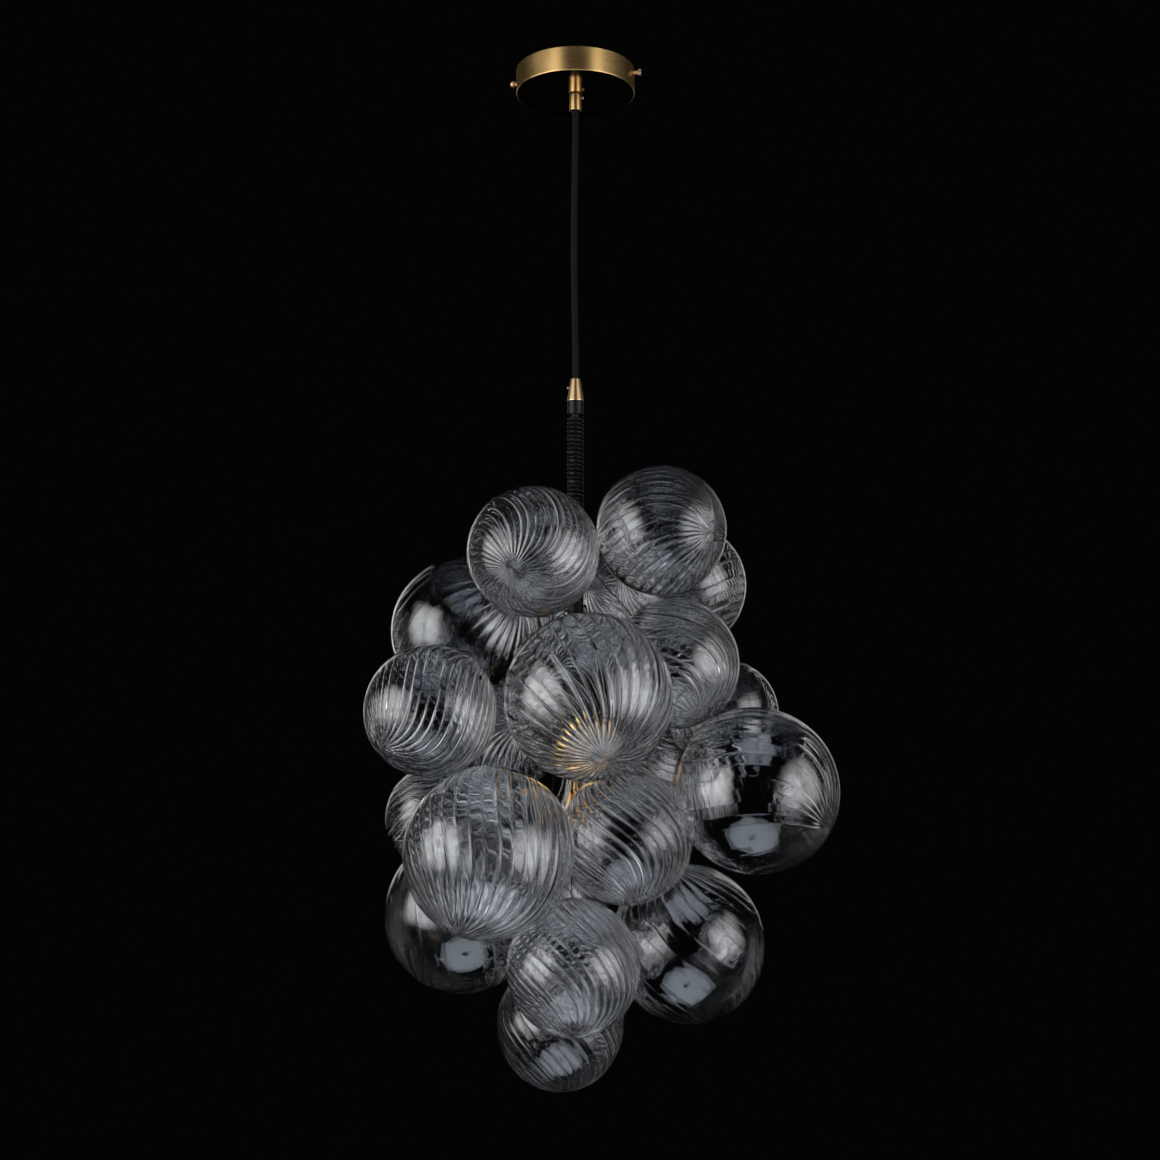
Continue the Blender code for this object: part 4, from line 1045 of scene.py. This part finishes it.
def make_lampholder():
    radius = HOLDER_DIAMETER / 2
    inner = radius - HOLDER_WALL
    hole = LOWER_SPIGOT_DIAMETER / 2 + SEAT_GAP
    shoulder_z = HOLDER_TOP_Z - HOLDER_SHOULDER
    edge = HOLDER_WALL * 0.3
    edge_z = HOLDER_FOOT_Z + edge
    profile = [(hole, HOLDER_TOP_Z), (hole + edge, HOLDER_TOP_Z)]
    profile += arc(radius - HOLDER_SHOULDER, shoulder_z, HOLDER_SHOULDER, 90, 0, 14)
    profile += [(radius, edge_z + edge), (radius, edge_z), (radius - edge, HOLDER_FOOT_Z)]
    profile += [(inner + edge, HOLDER_FOOT_Z), (inner, edge_z), (inner, edge_z + edge)]
    profile += arc(radius - HOLDER_SHOULDER, shoulder_z, HOLDER_SHOULDER - HOLDER_WALL, 0, 90, 10)
    profile += [(hole, HOLDER_TOP_Z - HOLDER_WALL)]
    holder = piece("lampholder_cup_spun", "cluster", CUP_BRASS,
                   [lathe(profile, 128, True)], sharp=60)
    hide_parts("lampholder_cup")
    outer = inner - SEAT_GAP
    socket = BASE_DIAMETER / 2 + SEAT_GAP
    top, foot = HOLDER_TOP_Z - INSERT_HEADROOM, HOLDER_FOOT_Z + INSERT_RECESS
    floor = BASE_TOP_Z + SEAT_GAP
    profile = [(0, top), (outer, top), (outer, foot), (socket, foot), (socket, floor), (0, floor)]
    insert = piece("lampholder_insert_glazed", "cluster", PORCELAIN,
                   [lathe(softened(profile, 0.0008), 96)])
    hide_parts("lampholder_insert")


def bulb_outline(wall):
    neck, radius = BULB_NECK_DIAMETER / 2, BULB_DIAMETER / 2
    neck_z = BASE_FOOT_Z - SEAT_GAP
    middle_z = neck_z - BULB_LENGTH + radius
    points = []
    for share in np.linspace(0, 1, 17)[:-1]:
        swell = (1 - math.cos(math.pi * share)) / 2
        points.append((neck + (radius - neck) * swell - wall, neck_z + (middle_z - neck_z) * share))
    return points + arc(0, middle_z, radius - wall, 0, -89, 23) + [(0, middle_z - radius + wall)]


def make_bulb():
    radius, contact = BASE_DIAMETER / 2, CONTACT_DIAMETER / 2
    pitch, depth = 0.0036, 0.0009
    edge, slope = 0.0004, 0.0006
    thread_top = BASE_TOP_Z - CONTACT_HEIGHT - BASE_SHOULDER
    thread_foot = BASE_FOOT_Z + 0.004
    profile = [(0, BASE_TOP_Z), (contact * 0.8, BASE_TOP_Z)]
    profile += [(contact, BASE_TOP_Z - CONTACT_HEIGHT * s) for s in (0.3, 1)]
    profile += [(radius * 0.9, thread_top + slope)]
    profile += [(radius, z) for z in np.arange(thread_top, thread_foot, -pitch / 12)]
    profile += [(radius, thread_foot - slope), (radius, BASE_FOOT_Z + edge)]
    profile += [(radius - edge, BASE_FOOT_Z), (MOUNT_DIAMETER / 2, BASE_FOOT_Z)]
    for share in np.linspace(0.06, 1, 12):
        thin = MOUNT_DIAMETER / 2 + (MOUNT_TIP_DIAMETER - MOUNT_DIAMETER) / 2 * share
        waist = 0.0008 * math.sin(math.pi * share)
        profile.append((thin - waist, BASE_FOOT_Z - MOUNT_LENGTH * share))
    profile.append((0, BASE_FOOT_Z - MOUNT_LENGTH))

    def thread(angle, r, z):
        inside = np.clip((thread_top - z) / pitch, 0, 1) * np.clip((z - thread_foot) / pitch, 0, 1)
        return -depth * thread_wave(angle, z, pitch) * np.where(r > radius * 0.99, inside, 0)

    base = piece("bulb_base_threaded", "bulb", SATIN,
                 [lathe(profile, 96, False, thread)], sharp=60)
    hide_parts("bulb_base")
    outside = bulb_outline(0)
    rim = [(outside[0][0] - BULB_WALL / 2, outside[0][1] + SEAT_GAP / 3)]
    shell = piece("bulb_glass_blown", "bulb", BULB_GLASS,
                  [lathe(bulb_outline(BULB_WALL)[::-1] + rim + outside, 96)])
    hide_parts("bulb_glass")

    lead_z = BASE_FOOT_Z - MOUNT_LENGTH - SEAT_GAP
    bend_z = lead_z - FILAMENT_DIAMETER
    top = bend_z - FILAMENT_LEAD_DROP
    points = [(FILAMENT_LEAD_SPREAD, 0, z) for z in (lead_z, bend_z)]
    for stroke in range(FILAMENT_STROKES + 1):
        low = stroke % 2
        angle = math.tau * (stroke + 0.5) / (FILAMENT_STROKES + 1)
        reach = FILAMENT_BOTTOM_RADIUS if low else FILAMENT_TOP_RADIUS
        points.append(polar(reach, angle, top - FILAMENT_HEIGHT * low))
    points += [(-FILAMENT_LEAD_SPREAD, 0, z) for z in (bend_z, lead_z)]
    path = resampled(softened(points, 0.0014, steps=8), 0.0004)
    filament = piece("bulb_filament_wound", "bulb", FILAMENT,
                     [tube(path, FILAMENT_DIAMETER / 2, 14, strands(1, 0.0014, 0.00008))])
    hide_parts("bulb_filament")


make_lampholder()
make_bulb()


# Studio

FLOOR_Z = -4.2
FLOOR_RADIUS = 5.5
AIM = Vector((0, 0, -0.60))
# The faint glow of floor and world
DARKNESS = (0.0011, 0.0011, 0.0013)


def make_stage():
    profile = [(0, 0), (FLOOR_RADIUS, 0), (FLOOR_RADIUS, -0.01), (0, -0.01)]
    finish = plain("black_studio_floor", (0.010, 0.010, 0.011), (0.014, 0.014, 0.015), (0.8, 0.95),
                   (0.05, 0.001), ((6, 5), (20, 4), (90, 4)), Specular_IOR_Level=0.05,
                   Emission_Color=DARKNESS, Emission_Strength=1.0)
    floor = piece("floor", None, finish, [lathe(softened(profile, 0.003), 128)],
                  Matrix.Translation((0, 0, FLOOR_Z)), 40)
    floor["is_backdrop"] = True
    world = bpy.data.worlds.new("studio")
    sky = Tree(world)
    sky.feed(sky.tree.nodes["Background"], {"Color": DARKNESS})
    bpy.context.scene.world = world


def window_glow(nodes, across, along):
    """Strength over a window that fades towards its edges, with a dark bar down its middle."""
    bar_dark, bar_narrow, brightest = 0.6, 9.0, 2.0
    bar = nodes.math("POWER", nodes.math("SUBTRACT", 1.0, across), bar_narrow)
    wide = nodes.math("SUBTRACT", 1.0, nodes.math("POWER", across, 2.0))
    wide = nodes.math("MULTIPLY", wide, nodes.math("MULTIPLY_ADD", bar, -bar_dark, 1.0))
    tall = nodes.math("SUBTRACT", 1.0, nodes.math("POWER", along, 2.2))
    return nodes.math("MULTIPLY", nodes.math("MULTIPLY", wide, tall), brightest)


def octagon_glow(nodes, across, along):
    """Strength over an eight-sided lamp that fades towards its rim, with a dim middle."""
    middle, edge_drop, spot_size, spot_dim = 1.15, 0.45, 0.11, 0.1
    both = nodes.math("ADD", across, along)
    inside = nodes.math("LESS_THAN", both, math.sqrt(2))
    rim = nodes.math("MAXIMUM", nodes.math("MAXIMUM", across, along),
                     nodes.math("DIVIDE", both, math.sqrt(2)))
    off_spot = nodes.math("GREATER_THAN", rim, spot_size)
    spot = nodes.math("MULTIPLY_ADD", off_spot, 1 - spot_dim, spot_dim)
    glow = nodes.math("MULTIPLY_ADD", nodes.math("POWER", rim, 4.0), -edge_drop, middle)
    return nodes.math("MULTIPLY", nodes.math("MULTIPLY", glow, inside), spot)


def softbox(name, azimuth, height, distance, size, radiance, through=0.0, octagon=False,
            colour=(1, 1, 1)):
    """A soft lamp: a level window, or an octagon aimed at the cluster. Azimuth 0 is the
    camera's side, and grows towards the picture's right.

    through is the share of its light left when it is seen straight through glass.
    """
    angle = math.radians(azimuth)
    place = Vector((math.sin(angle) * distance, -math.cos(angle) * distance, height))
    data = bpy.data.lights.new(name, "AREA")
    data.shape = "SQUARE" if octagon else "RECTANGLE"
    data.size, data.size_y = size
    data.energy = radiance * math.pi * (size[0] * size[1])
    data.color = colour
    nodes = Tree(data)
    # How far off the lamp's middle, 1 at its edges
    on_lamp = nodes.node("ShaderNodeNewGeometry").outputs["Parametric"]
    offs = []
    for side in nodes.node("ShaderNodeSeparateXYZ", {0: on_lamp}).outputs[:2]:
        centred = nodes.math("SUBTRACT", nodes.math("MULTIPLY", side, 2.0), 1.0)
        offs.append(nodes.math("ABSOLUTE", centred))
    glow = octagon_glow(nodes, *offs) if octagon else window_glow(nodes, *offs)
    # Seen straight through glass: no bounce but those that pass through it
    path = nodes.node("ShaderNodeLightPath").outputs
    bounces = nodes.math("SUBTRACT", path["Ray Depth"], path["Transmission Depth"])
    direct = nodes.math("LESS_THAN", bounces, 1.5)
    passed = nodes.math("GREATER_THAN", path["Transmission Depth"], 0.5)
    left = nodes.math("MULTIPLY_ADD", nodes.math("MULTIPLY", direct, passed), through - 1, 1.0)
    nodes.feed(nodes.tree.nodes["Emission"], {"Strength": nodes.math("MULTIPLY", glow, left)})
    lamp = bpy.data.objects.new(name, data)
    bpy.context.scene.collection.objects.link(lamp)
    aim = AIM if octagon else Vector((AIM.x, AIM.y, place.z))
    lamp.location = place
    lamp.rotation_euler = (aim - place).to_track_quat("-Z", "Y").to_euler()
    lamp.visible_camera = False
    return lamp


def lights_only(lamps, name, shown):
    """Lets lamps light the shown pieces and nothing else."""
    lit = bpy.data.collections.new(name)
    for obj in shown:
        lit.objects.link(obj)
    for lamp in lamps:
        lamp.light_linking.receiver_collection = lit


def has_glass(obj):
    return any("glass" in slot.material.name for slot in obj.material_slots)


make_stage()
softbox("window_left", -63, -0.28, 1.75, (2.0, 1.8), 2.7, colour=(0.97, 0.98, 1.0))
softbox("window_right", 58, -0.28, 1.75, (1.9, 1.8), 1.75, colour=(0.97, 0.98, 1.0))
softbox("back_left", -150, -0.40, 2.2, (0.5, 1.8), 0.60, 1.0)
softbox("back_right", 152, -0.40, 2.2, (0.5, 1.8), 0.40, 1.0)
softbox("octabox", 0, -1.62, 0.77, (1.15, 1.15), 1.85, 0.0, True, (0.78, 0.87, 1.0))

# Two strips and a lamp above are screened off from the glass. They light the metal and the
# textiles alone.
lights_only((softbox("strip_left", -37, -0.30, 1.75, (0.76, 2.4), 2.2, 1.0),
             softbox("strip_right", 41, -0.30, 1.75, (0.74, 2.4), 1.9, 1.0),
             softbox("octabox_above", 30, 1.5, 0.5, (1.2, 1.2), 2.0, 1.0, True)),
            "screened_from_glass", [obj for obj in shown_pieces() if not has_glass(obj)])
# A small one lights the lampholder alone, which shines through the globes in front of it.
lights_only([softbox("snoot", -14, -0.62, 1.3, (0.55, 1.0), 3.2, 1.0)], "lampholder_only",
            [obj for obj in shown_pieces() if obj.name.startswith(("lampholder_cup", "bulb_base"))])

scene = bpy.context.scene
scene.view_settings.view_transform = "Standard"
scene.cycles.max_bounces = 20
scene.cycles.transmission_bounces = 20
scene.cycles.glossy_bounces = 8
